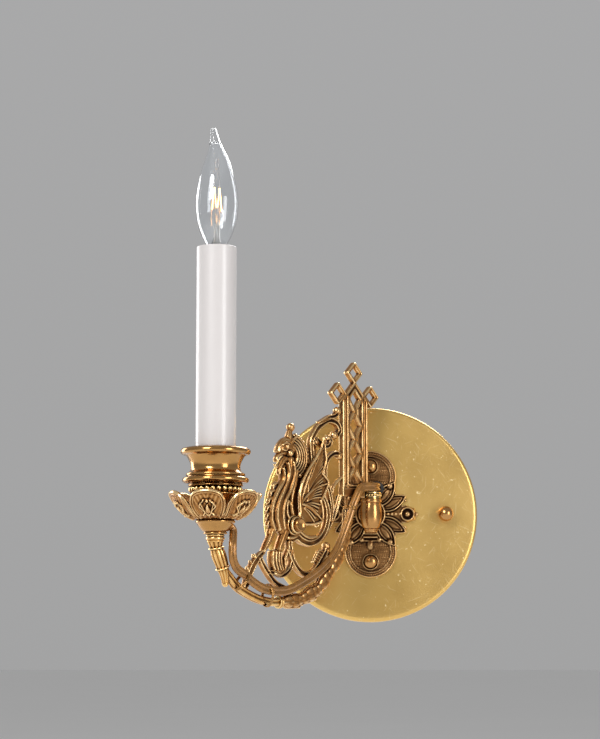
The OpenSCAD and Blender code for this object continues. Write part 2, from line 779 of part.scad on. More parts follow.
module beaded_collar() {
    bead_count = 28;
    bead_ring_r = 13.2;
    color(antique_brass) on_candle() difference() {
        union() {
            turned([[0, dish_z + dish_hub_t], [7, dish_z + dish_hub_t], [6, -4], [6, 0], [8, 3],
                [12.6, collar_z], [13.2, 7], [14, cup_z], [0, cup_z]]);
            for (k = [0 : bead_count - 1]) {
                rotate([0, 0, k * 360 / bead_count]) translate([bead_ring_r, 0, 7.2]) sphere(1.4);
            }
        }
        translate([0, 0, -30]) cylinder(d = tube_d + 2 * fit_gap, h = 60);
        translate([0, 0, cup_z]) cylinder(r = 30, h = 10);
    }
}

module candle_cup() {
    bore_r = sleeve_d / 2 + sleeve_gap;
    neck_r = bore_r + 2.1;
    color(brass) on_candle() difference() {
        union() {
            turned([[0, cup_z], [14.6, cup_z], [16.2, cup_z + 0.5], [16.2, cup_z + 1.3], [15, cup_z + 1.9],
                [16.6, cup_z + 2.4], [17, 14], [15.4, 14.2], [16.2, 15.6], [neck_r + 0.6, 17],
                [neck_r, 18.4], [neck_r + 0.8, 22.4], [neck_r + 2.6, 25.6], [neck_r + 3.2, rim_z],
                [neck_r + 3.2, rim_z + rim_r], [0, rim_z + rim_r]]);
            translate([0, 0, 12.5]) rotate_extrude() translate([16.6, 0]) circle(1.5);
            translate([0, 0, rim_z]) rotate_extrude() translate([cup_rim_r - rim_r, 0]) circle(rim_r);
        }
        translate([0, 0, sleeve_bottom]) cylinder(r = bore_r, h = 40);
        translate([0, 0, -1]) cylinder(d = tube_d + 2 * fit_gap, h = 60);
    }
}

// Hollow threaded tube through the whole stack, with a side slot for the wires
module threaded_tube() {
    bottom = terminal_top - 3.4;
    color(steel) on_candle() difference() {
        translate([0, 0, bottom]) tube(tube_d / 2, tube_bore_d / 2, tube_top - bottom);
        translate([-4, 0, -11.5]) rotate([0, -90, 0]) cylinder(r = 2.2, h = 8, center = true);
    }
}

module tube_nut() {
    color(steel) on_candle() translate([0, 0, sleeve_bottom])
        hex_nut(11, bracket_z - sleeve_bottom, tube_d / 2);
}

// Steel legs that carry the lamp socket up inside the sleeve
module socket_bracket() {
    leg_r = socket_r - 1.6;
    leg_w = 6;
    color(steel) on_candle() difference() {
        union() {
            translate([0, 0, bracket_z]) cylinder(r = socket_r - 0.6, h = bracket_t);
            translate([0, 0, socket_bottom - bracket_t]) cylinder(r = socket_r - 0.6, h = bracket_t);
            for (s = [-1, 1]) {
                translate([-leg_w / 2, s * leg_r - 0.5, bracket_z])
                    cube([leg_w, 1, socket_bottom - bracket_z]);
            }
        }
        translate([0, 0, bracket_z - 1]) cylinder(d = tube_d, h = 4);
        translate([0, 0, socket_bottom - 4]) cylinder(r = 3.4, h = 8);
    }
}

module socket_body() {
    color("black") on_candle() translate([0, 0, socket_bottom]) difference() {
        cylinder(r = socket_r, h = socket_len);
        translate([0, 0, 3]) cylinder(r = shell_bore_r + 0.5, h = socket_len);
        for (s = [-1, 1]) translate([s * 1.2, 0, -1]) cylinder(r = 1, h = 6);
    }
}

module socket_shell() {
    color(brass) on_candle() translate([0, 0, socket_bottom + 5])
        tube(shell_bore_r + 0.5, shell_bore_r, socket_len - 6);
}

module socket_contact() {
    color(brass) on_candle() translate([0, 0, socket_bottom + 3]) difference() {
        cylinder(r = 2.4, h = contact_z - socket_bottom - 3);
        for (s = [-1, 1]) translate([s * 1.2, 0, -1]) cylinder(r = 1, h = 1.6);
    }
}

module socket_leads() {
    lead_r = 0.9;
    color("gainsboro") on_candle() for (s = [-1, 1]) {
        translate([s * 1.2, 0, -12]) cylinder(r = lead_r, h = socket_bottom + 3.5 + 12);
    }
}

module candle_sleeve() {
    color("white") on_candle() translate([0, 0, sleeve_bottom])
        tube(sleeve_d / 2, sleeve_d / 2 - sleeve_wall, sleeve_len);
}

// The flat cord along the arm, into the base cup
module arm_cord() {
    color("orange") on_arm() flat_cord(arm_route, [for (p = arm_route) [0, 1, 0]], cord_w, cord_t);
}

// A loop of wire round two round things; the second lies at offset from the first
module tie(r1, r2, offset) {
    wire = 0.8;
    slack = 0.4;
    linear_extrude(1.2, center = true) difference() {
        hull() {
            circle(r1 + wire + slack, $fn = 24);
            translate(offset) circle(r2 + wire + slack, $fn = 24);
        }
        hull() {
            circle(r1 + slack, $fn = 24);
            translate(offset) circle(r2 + slack, $fn = 24);
        }
    }
}

// Thin ties that hold the cord to the branch and to the foot of the post
module cord_ties() {
    cord_rise = 6.2;
    cord_front = 4;
    // [branch along, branch up, slope of the branch]
    for (p = [[86.4, -52.5, -6], [108, -44.2, -40]]) {
        color(brass) on_arm() translate([p[0], 0, p[1]]) rotate([0, p[2] + 90, 0])
            tie(branch_r(), cord_w / 2, [-cord_rise, cord_front]);
    }
    color(brass) on_arm() translate([19.8, 0, 2]) tie(branch_r() - 0.6, cord_w / 2, [0.6, cord_front + 0.3]);
}

// ---------- lamp ----------

module lamp_cap() {
    ridges = 6;
    color(steel) on_candle() difference() {
        union() {
            translate([0, 0, cap_bottom]) cylinder(r = cap_r - 0.25, h = cap_len);
            for (k = [0 : ridges - 1]) translate([0, 0, cap_bottom + 2 + k * thread_pitch])
                rotate_extrude() translate([cap_r - 0.5, 0]) circle(0.6);
        }
        translate([0, 0, cap_bottom + 0.6]) cylinder(r = cap_r - 0.8, h = 30);
        translate([0, 0, cap_bottom - 2]) cylinder(r = 3.4, h = 6);
        translate([0, 0, candle_top]) cylinder(r = 20, h = 5);
    }
}

module lamp_insulator() {
    color("black") on_candle() difference() {
        translate([0, 0, cap_bottom - 2.2]) union() {
            cylinder(r1 = 2.6, r2 = 4.6, h = 2.2);
            translate([0, 0, 2]) cylinder(r = 3.4, h = 1.4);
        }
        translate([0, 0, cap_bottom - 3]) cylinder(r = 1.6, h = 10);
    }
}

module lamp_contact() {
    color(steel) on_candle() translate([0, 0, contact_z + 0.1]) union() {
        cylinder(r = 1.6, h = cap_bottom + 0.6 - contact_z);
        translate([0, 0, 0]) cylinder(r = 2.2, h = 1);
    }
}

glass_neck_r = cap_r - 1;
// How far the glass goes into the cap
glass_neck_h = 1.2;

// Radius of the flame shape at a share of its height
function flame(shrink) = let (r = glass_d / 2 - shrink, h = glass_len)
    [[glass_neck_r + 0.6 - shrink, 0], [r * 0.72, h * 0.1], [r * 0.9, h * 0.19], [r * 0.99, h * 0.29],
    [r, h * 0.36], [r * 0.96, h * 0.45], [r * 0.83, h * 0.56], [r * 0.66, h * 0.67],
    [r * 0.48, h * 0.76], [r * 0.29, h * 0.84], [r * 0.2, h * 0.9 - shrink]];

module lamp_glass() {
    glass_t = 0.7;
    tip_r = 1.6;
    color("lightcyan", 0.4) on_candle() translate([0, 0, candle_top]) difference() {
        union() {
            turned(concat([[0, 0]], flame(0), [[tip_r, glass_len - tip_r], [0, glass_len - tip_r]]));
            translate([0, 0, glass_len - tip_r]) sphere(tip_r);
            translate([0, 0, -glass_neck_h]) cylinder(r = glass_neck_r, h = glass_neck_h);
        }
        turned(concat([[0, -eps]], flame(glass_t), [[0, glass_len * 0.9]]));
        translate([0, 0, -glass_neck_h - 1]) cylinder(r = glass_neck_r - glass_t, h = glass_neck_h + 1.2);
    }
}

// The pinched glass stem inside the lamp
module glass_mount() {
    foot_r = glass_neck_r - 0.8;
    color("lightcyan") on_candle() translate([0, 0, candle_top - glass_neck_h])
        turned([[0, 0], [foot_r, 0], [foot_r, 0.6], [2.6, 3.4], [2.1, 8], [2.2, 13.2], [1.4, 14.7],
            [0, 14.7]]);
}

module support_wires() {
    wire_r = 0.3;
    color(steel) on_candle() union() {
        for (s = [-1, 1]) hull() {
            translate([s * 1.2, 0, candle_top + 13.9]) sphere(wire_r, $fn = 8);
            translate([s * 3.6, 0, candle_top + 20]) sphere(wire_r, $fn = 8);
        }
        translate([0, 0, candle_top + 13.5]) cylinder(r = wire_r, h = 37.5);
    }
}

module filament() {
    r = 0.3;
    low = candle_top + 20.7;
    high = candle_top + 33;
    path = [[-3.6, low], [-1.9, high], [-0.75, low + 4], [0.75, low + 4], [1.9, high], [3.6, low]];
    color("gold") on_candle() for (i = [0, 1, 3, 4]) hull() {
        for (k = [i, i + 1]) translate([path[k][0], 0, path[k][1]]) sphere(r, $fn = 8);
    }
}

backplate();
rosette();
rosette_screws();
rosette_nuts();
mounting_strap();
mounting_studs();
stud_nuts();
cap_nut_left();
cap_nut_right();
ground_screw();
pivot_socket();
socket_washer();
socket_nut();
thrust_washer();
cord_bushing();
pivot_cord();
plate_leads();
wire_connectors();
pivot_pin();
beaded_knuckle();
lattice_post();
scroll_bracket();
griffin_body();
griffin_wings();
shoulder_screw();
branch_arm();
arm_band();
branch_leaf();
arm_terminal();
base_cup();
petal_dish();
beaded_collar();
candle_cup();
threaded_tube();
tube_nut();
socket_bracket();
socket_body();
socket_shell();
socket_contact();
socket_leads();
candle_sleeve();
arm_cord();
cord_ties();
lamp_cap();
lamp_insulator();
lamp_contact();
lamp_glass();
glass_mount();
support_wires();
filament();
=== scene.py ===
# Looks of the wall sconce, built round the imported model. Sizes are in millimetres until piece() makes metres.
import json
import math
import bmesh
import bpy
import numpy as np
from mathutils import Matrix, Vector


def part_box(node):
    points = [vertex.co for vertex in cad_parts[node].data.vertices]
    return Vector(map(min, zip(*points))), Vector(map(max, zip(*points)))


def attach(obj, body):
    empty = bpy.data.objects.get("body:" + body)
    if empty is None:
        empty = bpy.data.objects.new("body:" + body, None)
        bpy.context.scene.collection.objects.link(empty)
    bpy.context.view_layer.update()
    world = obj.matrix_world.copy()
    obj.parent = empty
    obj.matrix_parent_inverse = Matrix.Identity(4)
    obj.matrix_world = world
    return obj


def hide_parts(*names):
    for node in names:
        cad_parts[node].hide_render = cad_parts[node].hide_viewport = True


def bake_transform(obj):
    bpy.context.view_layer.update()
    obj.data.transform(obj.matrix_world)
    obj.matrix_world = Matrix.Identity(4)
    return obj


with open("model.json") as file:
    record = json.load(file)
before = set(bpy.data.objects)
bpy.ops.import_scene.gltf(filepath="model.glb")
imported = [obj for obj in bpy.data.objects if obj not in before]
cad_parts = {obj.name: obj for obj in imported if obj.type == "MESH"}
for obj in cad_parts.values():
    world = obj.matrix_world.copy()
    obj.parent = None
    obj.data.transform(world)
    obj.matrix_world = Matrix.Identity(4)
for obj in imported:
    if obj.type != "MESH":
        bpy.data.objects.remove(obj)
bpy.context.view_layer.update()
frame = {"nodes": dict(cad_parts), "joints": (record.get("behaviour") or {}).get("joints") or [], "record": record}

MM = 0.001
joints = {j["name"]: j for j in frame["joints"]}
PIVOT = np.array(joints["arm_swing"]["pos_m"]) / MM
CANDLE = np.array(joints["bulb_turn"]["pos_m"]) / MM
REACH = float(np.hypot(*(CANDLE - PIVOT)[:2]))
ALONG = np.append((CANDLE - PIVOT)[:2] / REACH, 0.0)
FRONT = np.array([-ALONG[1], ALONG[0], 0.0])
UP = np.array([0.0, 0.0, 1.0])
PLATE_FRONT = -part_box("backplate")[0].y / MM
PLATE_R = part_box("backplate")[1].x / MM
CANDLE_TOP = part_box("candle_sleeve")[1].z / MM


# ---------- places ----------

def on_arm(p):
    """Points [along, front, up] from the pivot's axis."""
    p = np.atleast_2d(p)
    base = np.array([PIVOT[0], PIVOT[1], 0.0])
    return base + p[:, :1] * ALONG + p[:, 1:2] * FRONT + p[:, 2:3] * UP


def on_candle(p):
    p = np.atleast_2d(p)
    return on_arm(p + np.array([REACH, 0.0, 0.0]))


def on_pivot(p):
    return np.atleast_2d(p) + np.array([PIVOT[0], PIVOT[1], 0.0])


def on_wall(p):
    """Points [right, up, out from the wall]."""
    p = np.atleast_2d(p)
    return np.column_stack([p[:, 0], -p[:, 2], p[:, 1]])


# ---------- mesh making ----------

def curve(points, spacing):
    """Smooth curve through the points, sampled about every spacing; any number of columns."""
    p = np.array(points, float)
    p = np.vstack([2 * p[0] - p[1], p, 2 * p[-1] - p[-2]])
    out = []
    for i in range(1, len(p) - 2):
        a, b, c, d = p[i - 1:i + 3]
        steps = max(1, int(np.linalg.norm((c - b)[:3]) / spacing))
        for t in np.arange(steps) / steps:
            out.append(0.5 * (2 * b + (c - a) * t + (2 * a - 5 * b + 4 * c - d) * t ** 2
                              + (3 * b - a - 3 * c + d) * t ** 3))
    out.append(p[-2])
    return np.array(out)


def arc(x, y, r, start, end, steps=8):
    a = np.radians(np.linspace(start, end, steps + 1))
    return [(x + r * math.cos(t), y + r * math.sin(t)) for t in a]


class Shell:
    """Vertices and faces collected from several shapes."""

    def __init__(self):
        self.verts = []
        self.faces = []
        self.count = 0

    def add(self, verts, faces):
        self.verts.append(np.asarray(verts, float))
        self.faces += [tuple(i + self.count for i in f) for f in faces]
        self.count += len(verts)

    def tube(self, points, sides=12, normal=(0, 1, 0), spacing=0.8, caps=True):
        """Swept oval. Points are [x, y, z, half width, half depth]; depth lies along the normal."""
        q = curve(points, spacing)
        if caps:
            first, last = q[0].copy(), q[-1].copy()
            head = unit(q[0, :3] - q[1, :3])
            tail = unit(q[-1, :3] - q[-2, :3])
            ends = []
            for src, way in ((first, head), (last, tail)):
                r = min(src[3], src[4])
                rows = []
                for a in (30, 60, 85):
                    row = src.copy()
                    row[:3] += way * r * math.sin(math.radians(a))
                    row[3:5] *= math.cos(math.radians(a))
                    rows.append(row)
                ends.append(rows)
            q = np.vstack([ends[0][::-1], q, ends[1]])
        n = len(q)
        tangent = np.gradient(q[:, :3], axis=0)
        tangent /= np.linalg.norm(tangent, axis=1)[:, None] + 1e-12
        hint = np.broadcast_to(np.array(normal, float), (n, 3)) if np.ndim(normal) == 1 else normal
        deep = hint - tangent * (hint * tangent).sum(1)[:, None]
        deep /= np.linalg.norm(deep, axis=1)[:, None]
        wide = np.cross(tangent, deep)
        a = np.arange(sides) * 2 * math.pi / sides
        ring = (wide[:, None] * (np.cos(a)[:, None] * q[:, None, 3:4])
                + deep[:, None] * (np.sin(a)[:, None] * q[:, None, 4:5]))
        verts = (q[:, None, :3] + ring).reshape(-1, 3)
        faces = [(i * sides + k, i * sides + (k + 1) % sides, (i + 1) * sides + (k + 1) % sides,
                  (i + 1) * sides + k) for i in range(n - 1) for k in range(sides)]
        faces.append(tuple(range(sides))[::-1])
        faces.append(tuple((n - 1) * sides + k for k in range(sides)))
        self.add(verts, faces)

    def ball(self, x, y, z, r, rings=8, flat=1.0):
        """A ball, squashed along Y by flat."""
        verts = [(x, y, z + r)]
        for i in range(1, rings):
            t = math.pi * i / rings
            for k in range(2 * rings):
                a = math.pi * k / rings
                verts.append((x + r * math.sin(t) * math.cos(a), y + r * flat * math.sin(t) * math.sin(a),
                              z + r * math.cos(t)))
        verts.append((x, y, z - r))
        w = 2 * rings
        faces = [(0, 1 + k, 1 + (k + 1) % w) for k in range(w)]
        faces += [(1 + i * w + k, 1 + (i + 1) * w + k, 1 + (i + 1) * w + (k + 1) % w, 1 + i * w + (k + 1) % w)
                  for i in range(rings - 2) for k in range(w)]
        last = len(verts) - 1
        faces += [(last, last - w + (k + 1) % w, last - w + k) for k in range(w)]
        self.add(verts, faces)

    def lathe(self, profile, sides=96):
        """Turned shape from [radius, height] points that start and end on the axis or on each other."""
        p = np.array(profile, float)
        a = np.arange(sides) * 2 * math.pi / sides
        x = p[:, :1] * np.cos(a)
        y = p[:, :1] * np.sin(a)
        z = np.repeat(p[:, 1:2], sides, 1)
        verts = np.stack([x, y, z], -1).reshape(-1, 3)
        faces = [(i * sides + k, i * sides + (k + 1) % sides, (i + 1) * sides + (k + 1) % sides,
                  (i + 1) * sides + k) for i in range(len(p) - 1) for k in range(sides)]
        self.add(verts, faces)

    def slab(self, outline, low, high):
        """Straight-sided plate from one outline, between two heights on Z."""
        n = len(outline)
        o = np.array(outline, float)
        verts = np.vstack([np.column_stack([o, np.full(n, h)]) for h in (low, high)])
        faces = [tuple(range(n))[::-1], tuple(range(n, 2 * n))]
        faces += [(k, (k + 1) % n, n + (k + 1) % n, n + k) for k in range(n)]
        self.add(verts, faces)


def unit(v):
    return v / (np.linalg.norm(v) + 1e-12)


def smooth_line(points, spacing):
    """The same curve as a list of points, to join with others into a profile."""
    return [tuple(p) for p in curve(points, spacing)]


def new_object(name, verts, faces):
    """Object from points in millimetres."""
    mesh = bpy.data.meshes.new(name)
    mesh.from_pydata((verts * MM).tolist(), [], faces)
    obj = bpy.data.objects.new(name, mesh)
    bpy.context.scene.collection.objects.link(obj)
    return obj


def piece(name, shell, place, body, nodes, material, sharp=40, weld=0.005, gain=None, reach=3):
    """Makes the mesh object, puts it in place and says what it rides on and stands for."""
    obj = new_object(name, place(np.vstack(shell.verts)), shell.faces)
    tidy(obj, weld)
    if gain:
        mark_relief(obj, reach, gain)
    finish_piece(obj, body, nodes, material, sharp)
    return obj


def tidy(obj, weld):
    """Welds close points and makes every face look outwards."""
    bm = bmesh.new()
    bm.from_mesh(obj.data)
    bmesh.ops.remove_doubles(bm, verts=bm.verts, dist=weld * MM)
    bmesh.ops.dissolve_degenerate(bm, edges=bm.edges, dist=weld * MM * 0.2)
    bmesh.ops.recalc_face_normals(bm, faces=bm.faces)
    bm.to_mesh(obj.data)
    bm.free()


def finish_piece(obj, body, nodes, material, sharp=40):
    obj.data.materials.clear()
    obj.data.materials.append(material)
    obj.data.shade_smooth()
    if sharp < 180:
        obj.data.set_sharp_from_angle(angle=math.radians(sharp))
    if body:
        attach(obj, body)
    if nodes:
        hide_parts(*nodes)


def use_modifier(obj, kind, **settings):
    """Adds a modifier, applies it and leaves a plain mesh."""
    mod = obj.modifiers.new(kind.title(), kind)
    for key, value in settings.items():
        setattr(mod, key, value)
    with bpy.context.temp_override(object=obj, active_object=obj, selected_objects=[obj]):
        bpy.ops.object.modifier_apply(modifier=mod.name)


def neighbour_mean(mesh, values):
    """Mean of the values over each vertex's neighbours."""
    edges = np.zeros(len(mesh.edges) * 2, int)
    mesh.edges.foreach_get("vertices", edges)
    a, b = edges[0::2], edges[1::2]
    total = np.zeros_like(values)
    np.add.at(total, a, values[b])
    np.add.at(total, b, values[a])
    count = np.bincount(edges, minlength=len(values)).astype(float)
    count[count == 0] = 1
    return total / count.reshape((-1,) + (1,) * (values.ndim - 1))


def mark_relief(obj, reach=6, gain=1.0):
    """Stores "relief" on the points: 0 in a hollow, 0.5 on the flat and 1 on a proud edge."""
    mesh = obj.data
    co = np.zeros(len(mesh.vertices) * 3)
    mesh.vertices.foreach_get("co", co)
    co = co.reshape(-1, 3) / MM
    no = np.zeros(len(mesh.vertices) * 3)
    mesh.vertices.foreach_get("normal", no)
    no = no.reshape(-1, 3)
    smooth = co.copy()
    for _ in range(reach):
        smooth = neighbour_mean(mesh, smooth)
    height = ((co - smooth) * no).sum(1)
    for _ in range(2):
        height = neighbour_mean(mesh, height)
    relief = np.clip(0.5 + gain * height, 0, 1)
    layer = mesh.attributes.new("relief", "FLOAT", "POINT")
    layer.data.foreach_set("value", relief.astype(np.float32))


def cast(name, shell, place, body, nodes, material, voxel=0.3, smooth=2, gain=3.0):
    """Fuses overlapping shapes into one cast skin and marks its relief."""
    obj = new_object(name, place(np.vstack(shell.verts)), shell.faces)
    tidy(obj, 0.002)
    use_modifier(obj, "REMESH", mode="VOXEL", voxel_size=voxel * MM, adaptivity=0)
    if smooth:
        use_modifier(obj, "SMOOTH", factor=0.5, iterations=smooth)
    mark_relief(obj, gain=gain)
    finish_piece(obj, body, nodes, material, sharp=180)
    return obj


# ---------- materials ----------

class Nodes:
    """Short calls for a material's node tree."""

    def __init__(self, name):
        self.material = bpy.data.materials.new(name)
        self.material.use_nodes = True
        self.tree = self.material.node_tree
        self.shader = self.tree.nodes["Principled BSDF"]

    def new(self, kind, **settings):
        node = self.tree.nodes.new(kind)
        for key, value in settings.items():
            setattr(node, key, value)
        return node

    def link(self, a, b):
        self.tree.links.new(a, b)

    def set(self, **values):
        for key, value in values.items():
            self.shader.inputs[key.replace("_", " ")].default_value = value

    def noise(self, scale, detail=3, stretch=(1, 1, 1), turn=(0, 0, 0), rough=0.5):
        place = self.new("ShaderNodeTexCoord")
        turned = self.new("ShaderNodeMapping")
        turned.inputs["Rotation"].default_value = turn
        mapping = self.new("ShaderNodeMapping")
        mapping.inputs["Scale"].default_value = stretch
        tex = self.new("ShaderNodeTexNoise")
        tex.inputs["Scale"].default_value = scale
        tex.inputs["Detail"].default_value = detail
        tex.inputs["Roughness"].default_value = rough
        self.link(place.outputs["Object"], turned.inputs["Vector"])
        self.link(turned.outputs["Vector"], mapping.inputs["Vector"])
        self.link(mapping.outputs["Vector"], tex.inputs["Vector"])
        return tex.outputs["Fac"]

    def ramp(self, source, stops):
        ramp = self.new("ShaderNodeValToRGB")
        for i, (at, colour) in enumerate(stops):
            stop = ramp.color_ramp.elements[i] if i < 2 else ramp.color_ramp.elements.new(at)
            stop.position = at
            stop.color = tuple(colour) + (1,) if len(colour) == 3 else colour
        self.link(source, ramp.inputs["Fac"])
        return ramp.outputs["Color"]

    def grey(self, source, low, high, a=0.3, b=0.7):
        node = self.new("ShaderNodeMapRange")
        for key, value in (("From Min", a), ("From Max", b), ("To Min", low), ("To Max", high)):
            node.inputs[key].default_value = value
        self.link(source, node.inputs["Value"])
        return node.outputs["Result"]

    def mix(self, kind, amount, a, b):
        node = self.new("ShaderNodeMix", data_type="RGBA", blend_type=kind)
        for value, socket in ((amount, node.inputs[0]), (a, node.inputs[6]), (b, node.inputs[7])):
            if isinstance(value, (int, float)):
                socket.default_value = value
            elif isinstance(value, tuple):
                socket.default_value = value + (1,)
            else:
                self.link(value, socket)
        return node.outputs[2]

    def math(self, kind, a, b):
        node = self.new("ShaderNodeMath", operation=kind)
        for value, socket in ((a, node.inputs[0]), (b, node.inputs[1])):
            if isinstance(value, (int, float)):
                socket.default_value = value
            else:
                self.link(value, socket)
        return node.outputs[0]

    def hollow(self, distance):
        """How open each point is to the air round it: 0 in a crevice, 1 in the open; the brass materials use it to
        paint shade into crevices.
        """
        node = self.new("ShaderNodeAmbientOcclusion", samples=6)
        node.inputs["Distance"].default_value = distance
        return node.outputs["AO"]

    def bump(self, source, strength, distance):
        node = self.new("ShaderNodeBump")
        node.inputs["Strength"].default_value = strength
        node.inputs["Distance"].default_value = distance
        self.link(source, node.inputs["Height"])
        self.link(node.outputs["Normal"], self.shader.inputs["Normal"])


def cast_brass(name, dark, middle, bright, rough=(0.5, 0.24)):
    """Antique cast brass: patina dark in its hollows and rubbed bright on its edges, with painted shade from an
    occlusion node in its crevices.
    """
    n = Nodes(name)
    relief = n.new("ShaderNodeAttribute", attribute_name="relief").outputs["Fac"]
    blotch = n.noise(160, 4)
    uneven = n.math("ADD", relief, n.grey(blotch, -0.10, 0.10))
    colour = n.ramp(uneven, [(0.16, dark), (0.95, bright), (0.40, tuple(0.35 * d + 0.65 * m for d, m in
                                                                  zip(dark, middle))), (0.56, middle)])
    # painted shade: the occlusion amount mixes the dark colour into crevices and recesses
    shade = n.grey(n.hollow(0.0035), 0.0, 1.0, 0.25, 0.85)
    colour = n.mix("MIX", shade, dark, colour)
    n.link(colour, n.shader.inputs["Base Color"])
    n.link(n.grey(uneven, rough[0], rough[1], 0.3, 0.75), n.shader.inputs["Roughness"])
    n.set(Metallic=1.0)
    n.bump(n.noise(1400, 3), 0.12, 0.0002)
    return n.material


def turned_brass(name, colour, rough, deep, wear=0.12):
    """Turned and polished brass with fine turning lines and painted shade in its grooves from an occlusion node.
    """
    n = Nodes(name)
    blotch = n.noise(90, 4)
    tint = n.ramp(blotch, [(0.3, tuple(c * (1 - wear) for c in colour)), (0.7, colour)])
    # painted shade: the occlusion amount mixes the deep colour into grooves and recesses
    shade = n.grey(n.hollow(0.0025), 0.0, 1.0, 0.3, 0.8)
    n.link(n.mix("MIX", shade, deep, tint), n.shader.inputs["Base Color"])
    n.link(n.grey(n.noise(260, 4), rough * 0.8, rough * 1.35), n.shader.inputs["Roughness"])
    n.set(Metallic=1.0)
    n.bump(n.noise(500, 2, stretch=(0.15, 0.15, 6)), 0.06, 0.0001)
    return n.material


def plate_brass():
    """Satin lacquered brass with fine scratches in all directions and small specks."""
    n = Nodes("plate_brass")
    streaks = None
    for turn, scale in ((0.35, 90), (0.95, 120), (1.5, 100), (2.2, 130), (2.75, 110)):
        line = n.noise(scale, 1, stretch=(0.7, 1, 16), turn=(0, turn, 0))
        line = n.grey(line, 0.0, 1.0, 0.71, 0.76)
        streaks = line if streaks is None else n.math("MAXIMUM", streaks, line)
    specks = n.grey(n.noise(520, 1), 0.0, 1.0, 0.73, 0.77)
    marks = n.math("MAXIMUM", n.math("MULTIPLY", streaks, 0.3), n.math("MULTIPLY", specks, 0.7))
    cloud = n.noise(22, 4)
    tint = n.ramp(cloud, [(0.3, (0.68, 0.425, 0.125)), (0.72, (0.76, 0.505, 0.17))])
    n.link(n.mix("MIX", marks, tint, (0.92, 0.78, 0.45)), n.shader.inputs["Base Color"])
    n.link(n.math("ADD", n.grey(cloud, 0.30, 0.40), n.math("MULTIPLY", marks, 0.2)),
           n.shader.inputs["Roughness"])
    n.set(Metallic=1.0)
    n.bump(marks, 0.15, 0.0001)
    return n.material


def plain(name, colour, metallic, rough, scale=200, vary=0.08, **more):
    """A simple surface with slight unevenness of colour and gloss."""
    n = Nodes(name)
    blotch = n.noise(scale, 3)
    n.link(n.ramp(blotch, [(0.3, tuple(c * (1 - vary) for c in colour)), (0.7, colour)]),
           n.shader.inputs["Base Color"])
    n.link(n.grey(blotch, rough * 0.85, rough * 1.2), n.shader.inputs["Roughness"])
    n.set(Metallic=metallic, **more)
    n.bump(n.noise(scale * 5, 2), 0.05, 0.0001)
    return n.material


# The first colour of each cast brass is its patina in hollows and also the painted shade the occlusion node puts
# in crevices.
ANTIQUE = cast_brass("antique_brass", (0.024, 0.010, 0.006), (0.41, 0.185, 0.052), (0.95, 0.66, 0.32))
ROSETTE = cast_brass("rosette_brass", (0.022, 0.010, 0.006), (0.24, 0.118, 0.042), (0.70, 0.46, 0.21),
                     (0.5, 0.3))
ANTIQUE_TURNED = cast_brass("antique_turned", (0.034, 0.013, 0.006), (0.56, 0.27, 0.07), (0.95, 0.66, 0.28),
                            (0.42, 0.2))
# The last colour of each turned brass is painted shade for its grooves.
POLISHED = turned_brass("polished_brass", (0.48, 0.255, 0.085), 0.17, (0.05, 0.02, 0.008))
URN = turned_brass("urn_brass", (0.50, 0.26, 0.09), 0.22, (0.06, 0.025, 0.012))
PLATE = plate_brass()
STEEL = plain("zinc_steel", (0.58, 0.58, 0.56), 1.0, 0.35)
GREEN = plain("green_screw", (0.10, 0.36, 0.18), 0.6, 0.35)
SLEEVE = plain("sleeve_white", (0.57, 0.54, 0.53), 0.0, 0.3, scale=12, vary=0.01, Coat_Weight=0.25)
CORD = plain("cord_gold", (0.37, 0.165, 0.032), 0.6, 0.24, vary=0.35, Coat_Weight=0.5)
WIRE = plain("wire_white", (0.80, 0.79, 0.75), 0.0, 0.45)
CONNECTOR = plain("connector", (0.75, 0.26, 0.08), 0.0, 0.4)
BUSHING = plain("bushing", (0.03, 0.028, 0.026), 0.0, 0.45)
PHENOLIC = plain("phenolic", (0.02, 0.018, 0.016), 0.0, 0.35)
CAP_METAL = plain("cap_metal", (0.72, 0.70, 0.66), 1.0, 0.25)
INSULATOR = plain("cap_insulator", (0.01, 0.01, 0.015), 0.0, 0.12)
LAMP_WIRE = plain("lamp_wire", (0.45, 0.42, 0.40), 1.0, 0.3)


def glass_material(name):
    n = Nodes(name)
    n.set(Transmission_Weight=1.0, Roughness=0.0, IOR=1.45)
    n.shader.inputs["Base Color"].default_value = (0.97, 0.985, 1.0, 1)
    n.bump(n.noise(60, 2), 0.02, 0.001)
    return n.material


def glow_material():
    n = Nodes("filament_glow")
    heat = n.ramp(n.noise(500, 2), [(0.3, (1.0, 0.42, 0.08)), (0.7, (1.0, 0.60, 0.20))])
    n.link(heat, n.shader.inputs["Emission Color"])
    n.shader.inputs["Base Color"].default_value = (0.9, 0.6, 0.3, 1)
    n.set(Emission_Strength=12.0)
    return n.material


GLASS = glass_material("clear_glass")
STEM_GLASS = plain("stem_glass", (0.78, 0.77, 0.74), 0.0, 0.12, Transmission_Weight=0.6)
GLOW = glow_material()


# ---------- wall side ----------

def make_backplate():
    """Spun pan with a softly rolled front edge."""
    wall = 1.2
    depth = PLATE_FRONT
    s = Shell()
    outside = [(0.0, depth), (PLATE_R - 4, depth)] + arc(PLATE_R - 2.4, depth - 2.4, 2.4, 90, 0, 8)
    outside += [(PLATE_R, 1.2), (PLATE_R - 0.3, 0.2), (PLATE_R - wall, 0.0)]
    inside = [(PLATE_R - wall, 1.0)] + arc(PLATE_R - wall - 1.4, depth - wall - 1.4, 1.4, 0, 90, 5)
    inside += [(0.0, depth - wall)]
    rings = [(0.0, depth)] + [(r, depth) for r in np.linspace(2, PLATE_R - 5, 30)] + outside[1:]
    s.lathe(rings + inside, sides=180)
    place = lambda p: np.column_stack([p[:, 0], -p[:, 2], p[:, 1]])
    piece("plate_shell", s, place, "wall_plate", ["backplate"], PLATE, sharp=50)


